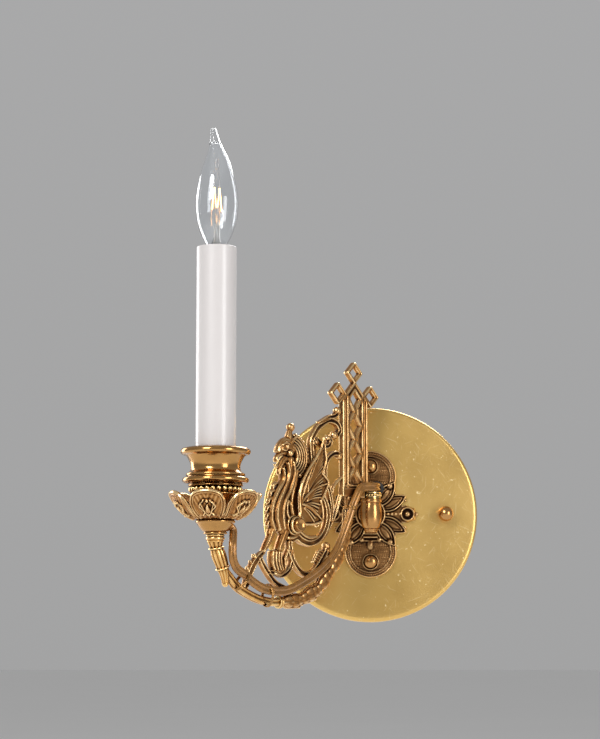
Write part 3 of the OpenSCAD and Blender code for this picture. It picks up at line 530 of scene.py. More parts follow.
def blob(x, z, cx, cz, rx, rz, turn=0.0):
    """1 at the centre of a turned oval, 0 at its edge and below zero outside."""
    a = math.radians(turn)
    u = (x - cx) * math.cos(a) + (z - cz) * math.sin(a)
    w = -(x - cx) * math.sin(a) + (z - cz) * math.cos(a)
    return 1 - np.sqrt((u / rx) ** 2 + (w / rz) ** 2)


def step(value, soft):
    """Smooth step from 0 to 1 as the value goes from -soft to soft."""
    t = np.clip(value / soft * 0.5 + 0.5, 0, 1)
    return t * t * (3 - 2 * t)


def leaf_distance(x, z, angle, start, length, width):
    """Positive inside a pointed leaf that starts at a radius and runs out at an angle."""
    a = math.radians(angle)
    u = x * math.cos(a) + z * math.sin(a) - start
    w = -x * math.sin(a) + z * math.cos(a)
    t = np.clip(u / length, 0, 1)
    half = width / 2 * np.sin(math.pi * t ** 0.9) ** 0.75
    inside = half - np.abs(w)
    return np.where((u > 0) & (u < length), inside, -np.maximum(np.abs(u - length * t),
            np.abs(w) - half) - 0.01)


LOBE_Z, LOBE_R, DOME_Z = 22.2, 15.6, 28.2


def rosette_height(x, z):
    """Height of the rosette's relief over the plate; at or below zero there is no metal."""
    mx, mz = np.abs(x), np.abs(z)
    low = -1.0
    h = np.full_like(x, low)
    # round lobes above and below, with a stippled ground and a rope rim between two lines
    lobe = LOBE_R - np.hypot(x, mz - LOBE_Z)
    lobe = np.minimum(lobe, mz - 12.5)
    stipple = np.sin(x * 5.1 + np.sin(z * 4.3) * 1.7) * np.sin(z * 5.3 + np.sin(x * 4.7) * 1.9)
    ground = 1.5 + 0.42 * stipple
    radial = np.hypot(x, mz - LOBE_Z)
    spin = np.arctan2(mz - LOBE_Z, x)
    rope = 0.5 * np.abs(np.sin(spin * 33 + radial * 1.2))
    rim = np.exp(-((radial - 14.9) / 0.42) ** 2) * 1.2 + np.exp(-((radial - 12.1) / 0.3) ** 2) * 0.9
    rim += np.exp(-((radial - 13.5) / 0.75) ** 2) * (0.35 + rope)
    lobe_h = ground * step(12.4 - radial, 0.4) + 1.5 * (1 - step(12.4 - radial, 0.4)) + rim
    h = np.where(lobe > 0, lobe_h * step(lobe, 0.35) + low * (1 - step(lobe, 0.35)), h)
    # seat of the dome screw
    seat = np.hypot(x, mz - DOME_Z)
    h = np.where((seat < 6) & (lobe > 0), np.maximum(h, 1.5 + 0.9 * np.exp(-((seat - 4.5) / 0.4) ** 2)), h)
    # side points: fan of three leaves with a ring at the end
    side = np.minimum(9.4 - mz - np.clip(mx - 9, 0, None) * 0.34, 26.5 - mx)
    ribs = 0.5 + 0.5 * np.cos(np.arctan2(mz, mx + 2) * 17)
    side_h = 1.3 + 1.0 * ribs
    h = np.where(side > 0, np.maximum(h, side_h * step(side, 0.5) + low * (1 - step(side, 0.5))), h)
    notch = np.hypot(mx - 19.3, mz - 7.4) - 2.2
    h = np.where((notch < 0) & (lobe < 0), low, h)
    tip = 1 - ((np.abs(mx - 25.6) / 3.4) + (mz / 3.0))
    h = np.where(tip > 0, np.maximum(h, 0.8 + 1.4 * tip), h)
    ring = np.hypot(mx - 22, mz)
    h = np.where(ring < 4.5, np.maximum(np.where(ring < 3.1, 0.9, h),
                                        1.2 + 1.9 * np.exp(-((ring - 3.75) / 0.62) ** 2)), h)
    ball = 1.9 ** 2 - ring ** 2
    h = np.where(ball > 0, np.maximum(h, 1.1 + np.sqrt(np.clip(ball, 0, None))), h)
    for k in range(4):
        bead = 1.05 ** 2 - (mx - 10.4 - 2.35 * k) ** 2 - mz ** 2
        h = np.where(bead > 0, np.maximum(h, 1.9 + np.sqrt(np.clip(bead, 0, None))), h)
    # small balls between the side points and the lobes
    for bx, bz, br in ((17.2, 9.6, 1.5), (20.4, 8.2, 1.2), (14.0, 12.6, 1.5)):
        ball = br ** 2 - (mx - bx) ** 2 - (mz - bz) ** 2
        h = np.where(ball > 0, np.maximum(h, 1.0 + 1.1 * np.sqrt(np.clip(ball, 0, None))), h)
    # diagonal leaf loops with raised double rims
    for angle in (27, 52):
        leaf = leaf_distance(mx, mz, angle, 5.5, 18.5, 9.6)
        loop = 0.7 + 2.0 * np.exp(-((leaf - 0.75) / 0.55) ** 2) + 0.9 * np.exp(-((leaf - 2.4) / 0.4) ** 2)
        h = np.where(leaf > 0, np.where(leaf > 3.2, 0.8 + 0.5 * np.clip(leaf - 3.2, 0, 1), loop)
                     * step(leaf, 0.3) + low * (1 - step(leaf, 0.3)), h)
    # urn's seat: banded piece with a drop and two balls below it
    below = np.where(z < 0, 1.0, 0.0)
    band = np.minimum(4.6 - mx, np.minimum(mz - 11.2, 16.2 - mz))
    band_h = 2.2 + 0.7 * np.cos((mz - 11.2) * 2.6)
    h = np.where((band > 0) & (below > 0), np.maximum(h, band_h * step(band, 0.4)), h)
    drop = blob(x, mz, 0, 18.2, 2.1, 3.2)
    h = np.where((drop > 0) & (below > 0), np.maximum(h, 1.6 + 1.9 * np.sqrt(np.clip(drop, 0, 1))), h)
    ball = 1.7 ** 2 - (mx - 5.2) ** 2 - (mz - 15.2) ** 2
    h = np.where((ball > 0) & (below > 0), np.maximum(h, 1.4 + np.sqrt(np.clip(ball, 0, None))), h)
    # scroll buds where the loops meet the lobes
    ball = 2.0 ** 2 - (mx - 11.6) ** 2 - (mz - 16.6) ** 2
    h = np.where(ball > 0, np.maximum(h, 1.2 + 0.9 * np.sqrt(np.clip(ball, 0, None))), h)
    # round boss behind the urn
    boss = np.hypot(x, z)
    h = np.where(boss < 9.2, np.maximum(h, 2.0 + 0.9 * np.exp(-((boss - 8.3) / 0.6) ** 2)), h)
    return h


def make_rosette():
    """Relief from a height field, closed at its back and cut off where the height is below zero."""
    cell = 0.26
    xs = np.arange(-30.5, 30.5 + cell, cell)
    zs = np.arange(-39.5, 39.5 + cell, cell)
    gx, gz = np.meshgrid(xs, zs, indexing="ij")
    h = rosette_height(gx, gz)
    inside = h > 0
    h = np.where(inside, np.maximum(h, 0.5), 0.5)
    blur = (np.roll(h, 1, 0) + np.roll(h, -1, 0) + np.roll(h, 1, 1) + np.roll(h, -1, 1)) / 4
    h = np.where(inside, 0.5 * h + 0.5 * blur, h)
    nx, nz = h.shape
    number = -np.ones(h.shape, int)
    cells = inside[:-1, :-1] & inside[1:, :-1] & inside[:-1, 1:] & inside[1:, 1:]
    used = np.zeros(h.shape, bool)
    for di in (0, 1):
        for dj in (0, 1):
            used[di:nx - 1 + di, dj:nz - 1 + dj] |= cells
    number[used] = np.arange(used.sum())
    m = int(used.sum())
    top = np.column_stack([gx[used], gz[used], h[used]])
    back = np.column_stack([gx[used], gz[used], np.zeros(m)])
    faces = []
    ii, jj = np.nonzero(cells)
    a, b, c, d = number[ii, jj], number[ii + 1, jj], number[ii + 1, jj + 1], number[ii, jj + 1]
    faces += list(map(tuple, np.column_stack([a, b, c, d])))
    faces += list(map(tuple, np.column_stack([d, c, b, a]) + m))
    padded = np.pad(cells, 1)
    for di, dj, p, q in ((0, -1, (0, 0), (1, 0)), (0, 1, (1, 1), (0, 1)), (-1, 0, (0, 1), (0, 0)),
                         (1, 0, (1, 0), (1, 1))):
        edge = cells & ~padded[1 + di:nx + di, 1 + dj:nz + dj]
        ei, ej = np.nonzero(edge)
        s, t = number[ei + p[0], ej + p[1]], number[ei + q[0], ej + q[1]]
        faces += list(map(tuple, np.column_stack([t, s, s + m, t + m])))
    s = Shell()
    s.add(np.vstack([top, back]), faces)
    verts = np.vstack(s.verts)
    place = lambda v: on_wall(np.column_stack([v[:, 0], v[:, 1], v[:, 2] + PLATE_FRONT]))
    obj = new_object("rosette_relief", place(verts), s.faces)
    tidy(obj, 0.001)
    use_modifier(obj, "SMOOTH", factor=0.5, iterations=1)
    mark_relief(obj, reach=6, gain=2.2)
    finish_piece(obj, "wall_plate", ["rosette"], ROSETTE, sharp=180)


def make_wall_screws():
    dome = Shell()
    for side in (-1, 1):
        part = Shell()
        part.lathe([(0, 3.5)] + [(3.8 * math.sin(a), 1.2 + 2.3 * math.cos(a)) for a in
                                 np.radians(np.linspace(8, 90, 12))] + [(3.9, 0.6), (3.7, 0.2), (0, 0.2)], 48)
        v = part.verts[0] + [0, side * DOME_Z, PLATE_FRONT + 1.3]
        dome.add(v, part.faces)
    piece("dome_screws", dome, on_wall, "wall_plate", ["rosette_screws"], URN, 60)
    for side, node in ((-1, "cap_nut_left"), (1, "cap_nut_right")):
        lo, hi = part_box(node)
        x = (lo.x + hi.x) / 2 / MM
        tip = -lo.y / MM
        r = (hi.x - lo.x) / 2 / MM
        s = Shell()
        profile = [(0, tip)] + [(r * math.sin(a), tip - r + r * math.cos(a)) for a in
                                np.radians(np.linspace(6, 132, 22))]
        neck_r, foot = r * 0.72, PLATE_FRONT
        profile += [(neck_r, foot + 1.9), (neck_r + 0.5, foot + 1.5), (neck_r + 0.5, foot + 0.3),
                    (neck_r + 0.2, foot + 0.02), (0, foot + 0.02)]
        s.lathe(profile, 64)
        s.verts[0] = s.verts[0] + [x, 0, 0]
        piece(f"ball_{node}", s, on_wall, "wall_plate", [node], URN, 50)


def make_urn():
    s = Shell()
    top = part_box("thrust_washer")[0].z / MM
    outline = [(0, -12.1)] + smooth_line([(1.6, -12.0), (3.4, -11.5), (3.7, -10.7)], 0.2)
    outline += [(4.3, -10.2), (4.4, -9.8), (4.1, -9.4)]
    outline += smooth_line([(4.9, -8.6), (5.7, -6.6), (6.3, -3.4), (6.5, 0.2), (6.25, 3.4), (5.8, 5.6)], 0.3)
    outline += [(6.3, 5.9), (6.45, 6.4), (6.4, 7.0), (6.2, top), (3.2, top), (3.2, top - 9), (0, top - 9)]
    s.lathe(outline, 96)
    piece("pivot_urn", s, on_pivot, "wall_plate", ["pivot_socket"], URN, 35)
    neck = Shell()
    gap = -PIVOT[1]
    start = PLATE_FRONT + 2.2
    neck.lathe([(0, start), (7.2, start)] + arc(7.2 - 0.9, start + 1.5, 0.9, -10, 90, 6)
               + [(5.4, start + 2.6), (4.5, start + 3.3), (4.2, start + 4.6), (4.4, gap - 5.5),
                  (4.6, gap - 4.4), (0, gap - 4.4)], 72)
    piece("urn_neck", neck, on_wall, "wall_plate", [], URN, 35)


make_backplate()
make_rosette()
make_wall_screws()
make_urn()


# ---------- candle stack ----------

def make_candle_cup():
    sleeve_low, sleeve_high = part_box("candle_sleeve")
    clearance = 0.3
    bore = (sleeve_high.x - sleeve_low.x) / 2 / MM + clearance
    bottom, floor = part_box("candle_cup")[0].z / MM, sleeve_low.z / MM
    s = Shell()
    p = [(3.7, bottom), (14.2, bottom)]
    p += arc(14.6, bottom + 0.5, 0.5, -90, 90, 6)
    p += [(14.9, bottom + 1.5)]
    p += arc(16.7, bottom + 3.5, 1.55, -80, 80, 12)
    p += [(15.9, bottom + 5.2)]
    p += arc(15.3, bottom + 6.4, 0.95, -60, 75, 8)
    p += smooth_line([(15.0, bottom + 7.5), (14.0, bottom + 8.6), (13.55, bottom + 10.2),
                      (13.9, bottom + 12.6), (15.2, bottom + 15.4), (16.3, bottom + 17.0)], 0.35)
    p += arc(17.35, bottom + 19.1, 1.85, -105, 95, 16)
    p += [(16.2, bottom + 21.3), (14.6, bottom + 21.6), (bore + 0.6, bottom + 21.5), (bore, bottom + 21.1)]
    p += [(bore, floor), (3.7, floor), (3.7, bottom)]
    s.lathe(p, 128)
    piece("turned_cup", s, on_candle, "swing_arm", ["candle_cup"], POLISHED, 40)


def make_beaded_collar():
    lo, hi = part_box("beaded_collar")
    top, bottom = hi.z / MM, lo.z / MM
    s = Shell()
    p = [(3.7, bottom), (7.2, bottom)]
    p += smooth_line([(7.2, bottom), (6.1, -4), (6.2, 0), (8.4, 2.6), (11.4, 4.2)], 0.5)
    p += arc(12.1, 4.9, 0.7, -90, 60, 5)
    p += [(12.3, 6.2), (12.2, top - 0.9), (12.9, top - 0.4), (13.4, top), (3.7, top), (3.7, bottom)]
    s.lathe(p, 96)
    count = 26
    for k in range(count):
        a = 2 * math.pi * k / count
        b = Shell()
        b.ball(0, 0, 0, 1.0, rings=8)
        v = b.verts[0] * [1.5, 1.42, 1.85]
        lean = v[:, 0] + v[:, 2] * 0.2
        v = np.column_stack([(lean + 13.2) * math.cos(a) - v[:, 1] * math.sin(a),
                             (lean + 13.2) * math.sin(a) + v[:, 1] * math.cos(a), v[:, 2] + 7.1])
        s.add(v, b.faces)
    piece("gadroon_collar", s, on_candle, "swing_arm", ["beaded_collar"], ANTIQUE_TURNED, 40,
          gain=1.5)


DISH_LINE = [(3.75, -9.3), (7.0, -9.35), (10.3, -9.1), (13.6, -8.1), (17.2, -5.8), (20.4, -2.4), (23.0, 1.2),
             (24.6, 4.0), (25.5, 6.0)]


def make_petal_dish():
    """Bowl of six petals, each with a double rim, a bud between two scrolled leaves and fine veins."""
    rows = 110
    spokes = 1008
    petals, offset, notch = 6, math.radians(35), 14.2
    line = curve([(r, z, 0) for r, z in DISH_LINE], 0.2)[:, :2]
    along = np.r_[0, np.cumsum(np.linalg.norm(np.diff(line, axis=0), axis=1))]
    reach = along[-1]
    a = np.arange(spokes) * 2 * math.pi / spokes
    wrapped = (a - offset + math.pi / petals) % (2 * math.pi / petals) - math.pi / petals
    share = np.abs(wrapped) / (math.pi / petals)
    round_off = np.clip(1 - (share / 0.96) ** 2.6, 0, 1) ** 0.42
    edge = np.where(share < 0.96, notch + (reach - notch) * round_off, notch - (share - 0.96) * 45)
    at = np.linspace(0, 1, rows)[:, None] * edge[None, :]
    r = np.interp(at, along, line[:, 0])
    z = np.interp(at, along, line[:, 1])
    slope = np.gradient(line, axis=0)
    slope /= np.linalg.norm(slope, axis=1)[:, None]
    out_r, out_z = np.interp(at, along, slope[:, 1]), -np.interp(at, along, slope[:, 0])

    def ridge(distance, width):
        return np.exp(-(distance / width) ** 2)

    w = r * wrapped[None, :]
    u = at - 17.6
    high = np.clip((at - notch) / (reach - notch), 0, 1)
    half = 0.96 * (1 - high ** 2.38) ** 0.385 * r * math.pi / petals
    margin = np.minimum(edge[None, :] - at, half - np.abs(w))
    rim = ridge(margin - 0.75, 0.5) * 0.75 + ridge(margin - 2.0, 0.35) * 0.4
    bud = np.clip(1 - (w / (1.35 - 0.22 * (u + 1))) ** 2 - ((u + 0.6) / 3.2) ** 2, 0, 1) ** 0.5 * 1.6
    turn = 3.0 + 1.3 * np.sin(u * 0.75 + 0.6)
    scroll = ridge(np.abs(w) - turn, 0.62) * 1.15 * (np.abs(u) < 5.2)
    leaf = ridge(np.abs(w) - (1.9 + 0.35 * (u + 2)), 0.5) * 0.9 * (np.abs(u + 1) < 4.4)
    veins = 0.13 * np.cos((np.abs(w) * 2.7 - u * 1.2) * 0.95) * np.clip((margin - 2.3) * 2, 0, 1)
    top_bud = np.clip(1 - (w / 1.0) ** 2 - ((u - 4.2) / 1.1) ** 2, 0, 1) ** 0.5 * 1.1
    spine = ridge(w, 0.45) * 0.6 * (u < -3.4)
    flutes = 0.28 * np.cos(w * 2.5) * np.clip((-u - 4.2) / 2, 0, 1)
    fade = np.clip((at - 7.6) / 1.5, 0, 1) * np.clip(margin / 0.4, 0, 1)
    relief = (rim + np.maximum.reduce([bud, scroll, leaf, top_bud]) + veins + spine + flutes) * fade

    def skin(distance):
        rr, zz = r + out_r * distance, z + out_z * distance
        return np.stack([rr * np.cos(a), rr * np.sin(a), zz], -1).reshape(-1, 3)

    n = rows * spokes
    k = np.arange(spokes)
    k2 = (k + 1) % spokes
    faces = []
    for i in range(rows - 1):
        low, high_row = i * spokes, (i + 1) * spokes
        faces += np.column_stack([low + k, low + k2, high_row + k2, high_row + k]).tolist()
        faces += (np.column_stack([low + k, high_row + k, high_row + k2, low + k2]) + n).tolist()
    last = (rows - 1) * spokes
    faces += np.column_stack([last + k, last + k2, n + last + k2, n + last + k]).tolist()
    faces += np.column_stack([k, n + k, n + k2, k2]).tolist()
    s = Shell()
    s.add(np.vstack([skin(relief), skin(-1.2)]), faces)
    piece("petals", s, on_candle, "swing_arm", ["petal_dish"], ANTIQUE, 180, gain=3.6,
          reach=7)


def make_base_cup():
    lo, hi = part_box("base_cup")
    bottom, top = lo.z / MM, hi.z / MM
    s = Shell()
    p = [(3.6, bottom), (5.9, bottom)] + arc(5.9, bottom + 0.6, 0.6, -90, 60, 5)
    p += smooth_line([(6.3, bottom + 1.3), (7.4, bottom + 2.1), (9.2, bottom + 4.3),
                      (9.9, bottom + 5.6)], 0.3)
    p += arc(10.0, top - 0.95, 0.9, -70, 80, 7)
    p += [(9.4, top), (8.8, top), (8.4, top - 1.6), (5.4, bottom + 1.6), (3.6, bottom + 1.5), (3.6, bottom)]
    s.lathe(p, 96)
    piece("turned_base", s, on_candle, "swing_arm", ["base_cup"], POLISHED, 40)


def make_sleeve():
    lo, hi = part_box("candle_sleeve")
    r, bottom, top = (hi.x - lo.x) / 2 / MM, lo.z / MM, hi.z / MM
    wall = 0.8
    s = Shell()
    p = [(r - wall, bottom), (r - 0.2, bottom), (r, bottom + 0.3)]
    p += [(r, z) for z in np.linspace(bottom + 1, top - 0.6, 24)]
    p += arc(r - 0.4, top - 0.4, 0.4, 0, 90, 4) + arc(r - wall + 0.25, top - 0.25, 0.25, 90, 180, 3)
    p += [(r - wall, z) for z in np.linspace(top - 1, bottom, 12)]
    s.lathe(p, 128)
    piece("sleeve_tube", s, on_candle, "swing_arm", ["candle_sleeve"], SLEEVE, 50)


# ---------- lamp ----------

def make_lamp():
    base = CANDLE_TOP
    glass_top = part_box("lamp_glass")[1].z / MM
    neck_r = 4.85
    height = glass_top - base
    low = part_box("lamp_glass")[0].z / MM - base
    shape = [(neck_r, low), (neck_r, 0.6 * low), (neck_r, 0.3 * low), (neck_r + 0.55, 0.6), (7.4, 4.5),
             (9.6, 9.5), (11.2, 15.5), (11.95, 21.5), (12.0, 26), (11.4, 32), (10.1, 38.5), (8.3, 45),
             (6.3, 50.5), (4.3, 55.5), (3.0, 59.5), (2.3, 63)]
    outer = curve(shape, 0.9)
    tip_r = 1.7
    tip = [(tip_r * math.cos(t) + 0.25, height - tip_r + tip_r * math.sin(t)) for t in
           np.radians(np.linspace(-20, 70, 6))] + [(0.0, height)]
    outside = [tuple(p) for p in outer] + tip
    glass = 0.55
    inside = [(max(r - glass, 0.0), z) for r, z in outer[::-1] if z < height - 7] + [(neck_r - glass, low)]
    inside = [(0.0, height - 8)] + [p for p in inside if p[1] < height - 8.5]
    s = Shell()
    s.lathe(outside, 96)
    s.lathe(inside, 96)
    s.lathe([(neck_r - glass, low), (neck_r, low)], 96)
    v = np.vstack(s.verts)
    bend = np.clip((v[:, 2] - 46) / (height - 46), 0, 1) ** 1.6 * 2.3
    v[:, 0] += bend * 0.7
    v[:, 1] += -bend * 0.75
    v[:, 2] += base
    s.verts = [v]
    piece("flame_glass", s, on_candle, "lamp_bulb", ["lamp_glass"], GLASS, 60)
    stem = Shell()
    stem.lathe([(0, low + 0.1), (neck_r - 0.8, low + 0.1)] + smooth_line(
        [(neck_r - 0.8, low + 0.3), (3.5, 1.4), (2.5, 4), (2.0, 7), (2.1, 10.5), (1.7, 13), (0.9, 13.8)], 0.5)
        + [(0, 14)], 48)
    stem.verts[0] = stem.verts[0] * [1.0, 0.62, 1.0] + [0, 0, base]
    piece("glass_stem", stem, on_candle, "lamp_bulb", ["glass_mount"], STEM_GLASS, 60)
    wires = Shell()
    for side in (-1, 1):
        wires.tube([[side * 0.9, 0, base + 8, .16, .16], [side * 1.1, 0, base + 14, .16, .16],
                    [side * 3.2, 0, base + 18, .16, .16], [side * 3.5, 0, base + 20.8, .16, .16]], 8)
        wires.tube([[side * 0.35, 0, base + 13, .13, .13], [side * 1.0, 0, base + 22, .13, .13],
                    [side * 1.9, 0, base + 33.4, .13, .13], [side * 1.6, 0, base + 40, .13, .13],
                    [side * 0.5, 0, base + 50, .13, .13]], 8)
    piece("lamp_wires", wires, on_candle, "lamp_bulb", ["support_wires"], LAMP_WIRE, 60)
    hot = Shell()
    path = [(-3.5, 20.8), (-2.9, 27), (-1.9, 33.4), (-1.3, 28), (-0.4, 23.2), (0.4, 23.2), (1.3, 28),
            (1.9, 33.4), (2.9, 27), (3.5, 20.8)]
    line = curve([(x, 0, base + z) for x, z in path], 0.08)
    turns = np.arange(len(line)) * 0.9
    coil = [[p[0] + 0.22 * math.cos(t), 0.22 * math.sin(t), p[2], 0.13, 0.13] for p, t in zip(line, turns)]
    hot.tube(coil, 6, spacing=10)
    piece("lit_filament", hot, on_candle, "lamp_bulb", ["filament"], GLOW, 180)
    cap = Shell()
    lo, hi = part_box("lamp_cap")
    r, low, high = (hi.x - lo.x) / 2 / MM, lo.z / MM, hi.z / MM
    p = [(2.4, low + 0.2), (r - 1.3, low + 0.3), (r - 0.5, low + 0.9)]
    for z in np.arange(low + 1.2, high - 3, 0.22):
        p.append((r - 0.32 + 0.3 * math.cos((z - low) * 2 * math.pi / 2.54), z))
    p += [(r - 0.3, high - 2.6), (r - 0.3, high), (r - 0.7, high), (r - 0.7, low + 1.4), (2.4, low + 0.6)]
    cap.lathe(p, 64)
    piece("screw_cap", cap, on_candle, "lamp_base", ["lamp_cap"], CAP_METAL, 50)


# ---------- cord ----------

LOOP = [(3.6, -6.5, 15), (3.6, -13, 15), (3.8, -19, 15), (4.4, -24, 15), (3.6, -29, 15), (0.2, -33.3, 14.8),
        (-4, -36.65, 14.5)]
LOOP_SIDES = [(1, 0, 0), (1, 0, 0), (1, 0, 0), (1, 0, 0), (0.9, -0.5, 0), (0.75, -0.66, 0),
              (0.707, -0.707, 0)]
RUN = [(10.6, 4.7, 14.5), (11.6, 4.7, 14.4), (14.4, 4.6, 12.7), (17, 4.5, 8.5), (19.7, 4.3, 3.5),
       (23, 4.2, -4), (26.5, 4, -11.2), (30, 4, -18), (34, 4, -24), (39.8, 4, -29.8), (46.3, 4, -34.6),
       (54, 4, -38.9), (62.5, 4, -42.8), (69, 4, -45.4), (75.9, 4, -46.9), (84, 4, -46.9), (92.2, 4, -45.5),
       (99, 4, -42.5), (105.2, 4.2, -38.7), (111.5, 4.6, -35.6), (115.1, 5.4, -31.8), (116.6, 6, -27.5),
       (116.6, 6, -22.7), (115, 4.6, -18), (113.6, 3, -14.5), (115.3, 1.8, -12.1), (118, 1.4, -11.6)]
CORD_WIDE, CORD_THIN = 5.2, 2.7


def twin_cord(route, sides):
    """Two round lobes joined by a thin web, as one closed sweep with a grooved section."""
    data = curve([list(p) + list(n) for p, n in zip(route, sides)], 0.9)
    points, normals = data[:, :3], data[:, 3:]
    tangent = np.gradient(points, axis=0)
    tangent /= np.linalg.norm(tangent, axis=1)[:, None]
    deep = normals - tangent * (normals * tangent).sum(1)[:, None]
    deep /= np.linalg.norm(deep, axis=1)[:, None]
    wide = np.cross(tangent, deep)
    lobe = CORD_THIN / 2
    centre = CORD_WIDE / 2 - lobe
    section = arc(centre, 0, lobe, -140, 140, 14) + arc(-centre, 0, lobe, 40, 320, 14)
    section = np.array(section)
    n, k = len(points), len(section)
    verts = (points[:, None] + wide[:, None] * section[None, :, :1] + deep[:, None] * section[None, :, 1:2])
    faces = [(i * k + j, i * k + (j + 1) % k, (i + 1) * k + (j + 1) % k, (i + 1) * k + j)
             for i in range(n - 1) for j in range(k)]
    faces += [tuple(range(k))[::-1], tuple((n - 1) * k + j for j in range(k))]
    s = Shell()
    s.add(verts.reshape(-1, 3), faces)
    return s


def make_cord():
    run = on_arm(RUN)
    sides = [tuple(FRONT)] * len(RUN)
    loop = LOOP[:-1] + [tuple(run[0])]
    s = twin_cord(loop, LOOP_SIDES)
    bend = piece("cord_loop", s, lambda p: p, None, ["pivot_cord"], CORD, 50)
    s = twin_cord([tuple(p) for p in run], sides)
    piece("cord_run", s, lambda p: p, "swing_arm", ["arm_cord"], CORD, 50)
    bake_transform(bend)


def make_ties():
    s = Shell()
    turns, pitch, wire, rise, reach = 3, 0.62, 0.32, 6.2, 3.2
    for centre, slope in (((86.4, 0, -52.5), -6), ((108, 0, -44.2), -40)):
        a = math.radians(slope)
        up = np.array([math.sin(a), 0, math.cos(a)])
        along = np.array([math.cos(a), 0, -math.sin(a)])
        for k in range(turns):
            loop = []
            for t in np.radians(np.arange(0, 361, 12)):
                lift, front = rise / 2 + (rise / 2 + reach) * math.cos(t), 2.0 + (2.0 + 2.2) * math.sin(t)
                p = np.array(centre) + along * (k * pitch - 0.6) + up * lift + np.array([0, front, 0])
                loop.append(list(p) + [wire, wire])
            s.tube(loop, 8, normal=along, spacing=10, caps=False)
    for k in range(turns):
        loop = []
        for t in np.radians(np.arange(0, 361, 12)):
            loop.append([20.0 + 3.4 * math.cos(t), 2.0 + 4.5 * math.sin(t), 2 + k * pitch - 0.6, wire, wire])
        s.tube(loop, 8, normal=(0, 0, 1), spacing=10, caps=False)
    piece("tie_wires", s, on_arm, "swing_arm", ["cord_ties"], POLISHED, 180)


make_candle_cup()
make_beaded_collar()
make_petal_dish()
make_base_cup()
make_sleeve()
make_lamp()
make_cord()
make_ties()


# ---------- castings of the arm ----------
# Their points are [along, up, half width] in the arm's own plane; thick is half the thickness.

HALF_T = 2.0
KNUCKLE_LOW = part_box("beaded_knuckle")[0].z / MM
POST_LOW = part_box("beaded_knuckle")[1].z / MM
SHOULDER = (65.0, -9.8)
BRANCH_R = 2.7


def strand(shell, points, thick=None, front=0.0, sides=10, spacing=0.8):
    """Rounded rib through its points."""
    shell.tube([[u, front, z, r, r if thick is None else thick] for u, z, r in points], sides,
               spacing=spacing)


def moulding(shell, points, thick=HALF_T, rim=0.36, depth=0.6):
    """Rib with a raised line along each edge on both faces and a hollow between the lines."""
    q = curve([[u, 0, z, r] for u, z, r in points], 0.9)
    step = np.gradient(q[:, [0, 2]], axis=0)
    step /= np.linalg.norm(step, axis=1)[:, None] + 1e-9
    shell.tube([[p[0], 0, p[2], p[3] * 0.9, thick * depth] for p in q], 10, spacing=99)
    for way in (-1, 1):
        shell.tube([[p[0] - way * s[1] * p[3] * 0.68, 0, p[2] + way * s[0] * p[3] * 0.68, p[3] * rim, thick]
                    for p, s in zip(q, step)], 8, spacing=99)


def bar(shell, a, b, half_w, thick, bevel=0.5):
    """Straight bevelled bar between two [along, up] points."""
    a, b = np.array(a, float), np.array(b, float)
    way = unit(b - a)
    side = np.array([-way[1], way[0]])
    ring = [(half_w - bevel, thick), (half_w, thick - bevel), (half_w, bevel - thick),
            (half_w - bevel, -thick), (bevel - half_w, -thick), (-half_w, bevel - thick),
            (-half_w, thick - bevel), (bevel - half_w, thick)]
    verts = [(p[0] + side[0] * w, v, p[1] + side[1] * w) for p in (a, b) for w, v in ring]
    faces = [tuple(range(8)), tuple(range(15, 7, -1))]
    faces += [(k, 8 + k, 8 + (k + 1) % 8, (k + 1) % 8) for k in range(8)]
    shell.add(verts, faces)


def bud(shell, u, z, r):
    shell.ball(u, 0, z, r, 8)


def make_knuckle():
    r = 5.9
    s = Shell()
    s.lathe([(0, KNUCKLE_LOW), (r - 0.6, KNUCKLE_LOW), (r, KNUCKLE_LOW + 0.4), (r, KNUCKLE_LOW + 0.9),
             (r - 0.5, KNUCKLE_LOW + 1.2), (r - 0.5, POST_LOW - 1.0), (r, POST_LOW - 0.8),
             (r, POST_LOW - 0.1), (0, POST_LOW - 0.1)], 72)
    beads = 22
    for k in range(beads):
        a = 2 * math.pi * k / beads
        s.ball((r - 0.25) * math.cos(a), (r - 0.25) * math.sin(a), (KNUCKLE_LOW + POST_LOW) / 2, 0.78, 6)
    piece("bead_ring", s, on_arm, "swing_arm", ["beaded_knuckle"], ANTIQUE_TURNED, 50,
          gain=3.0)


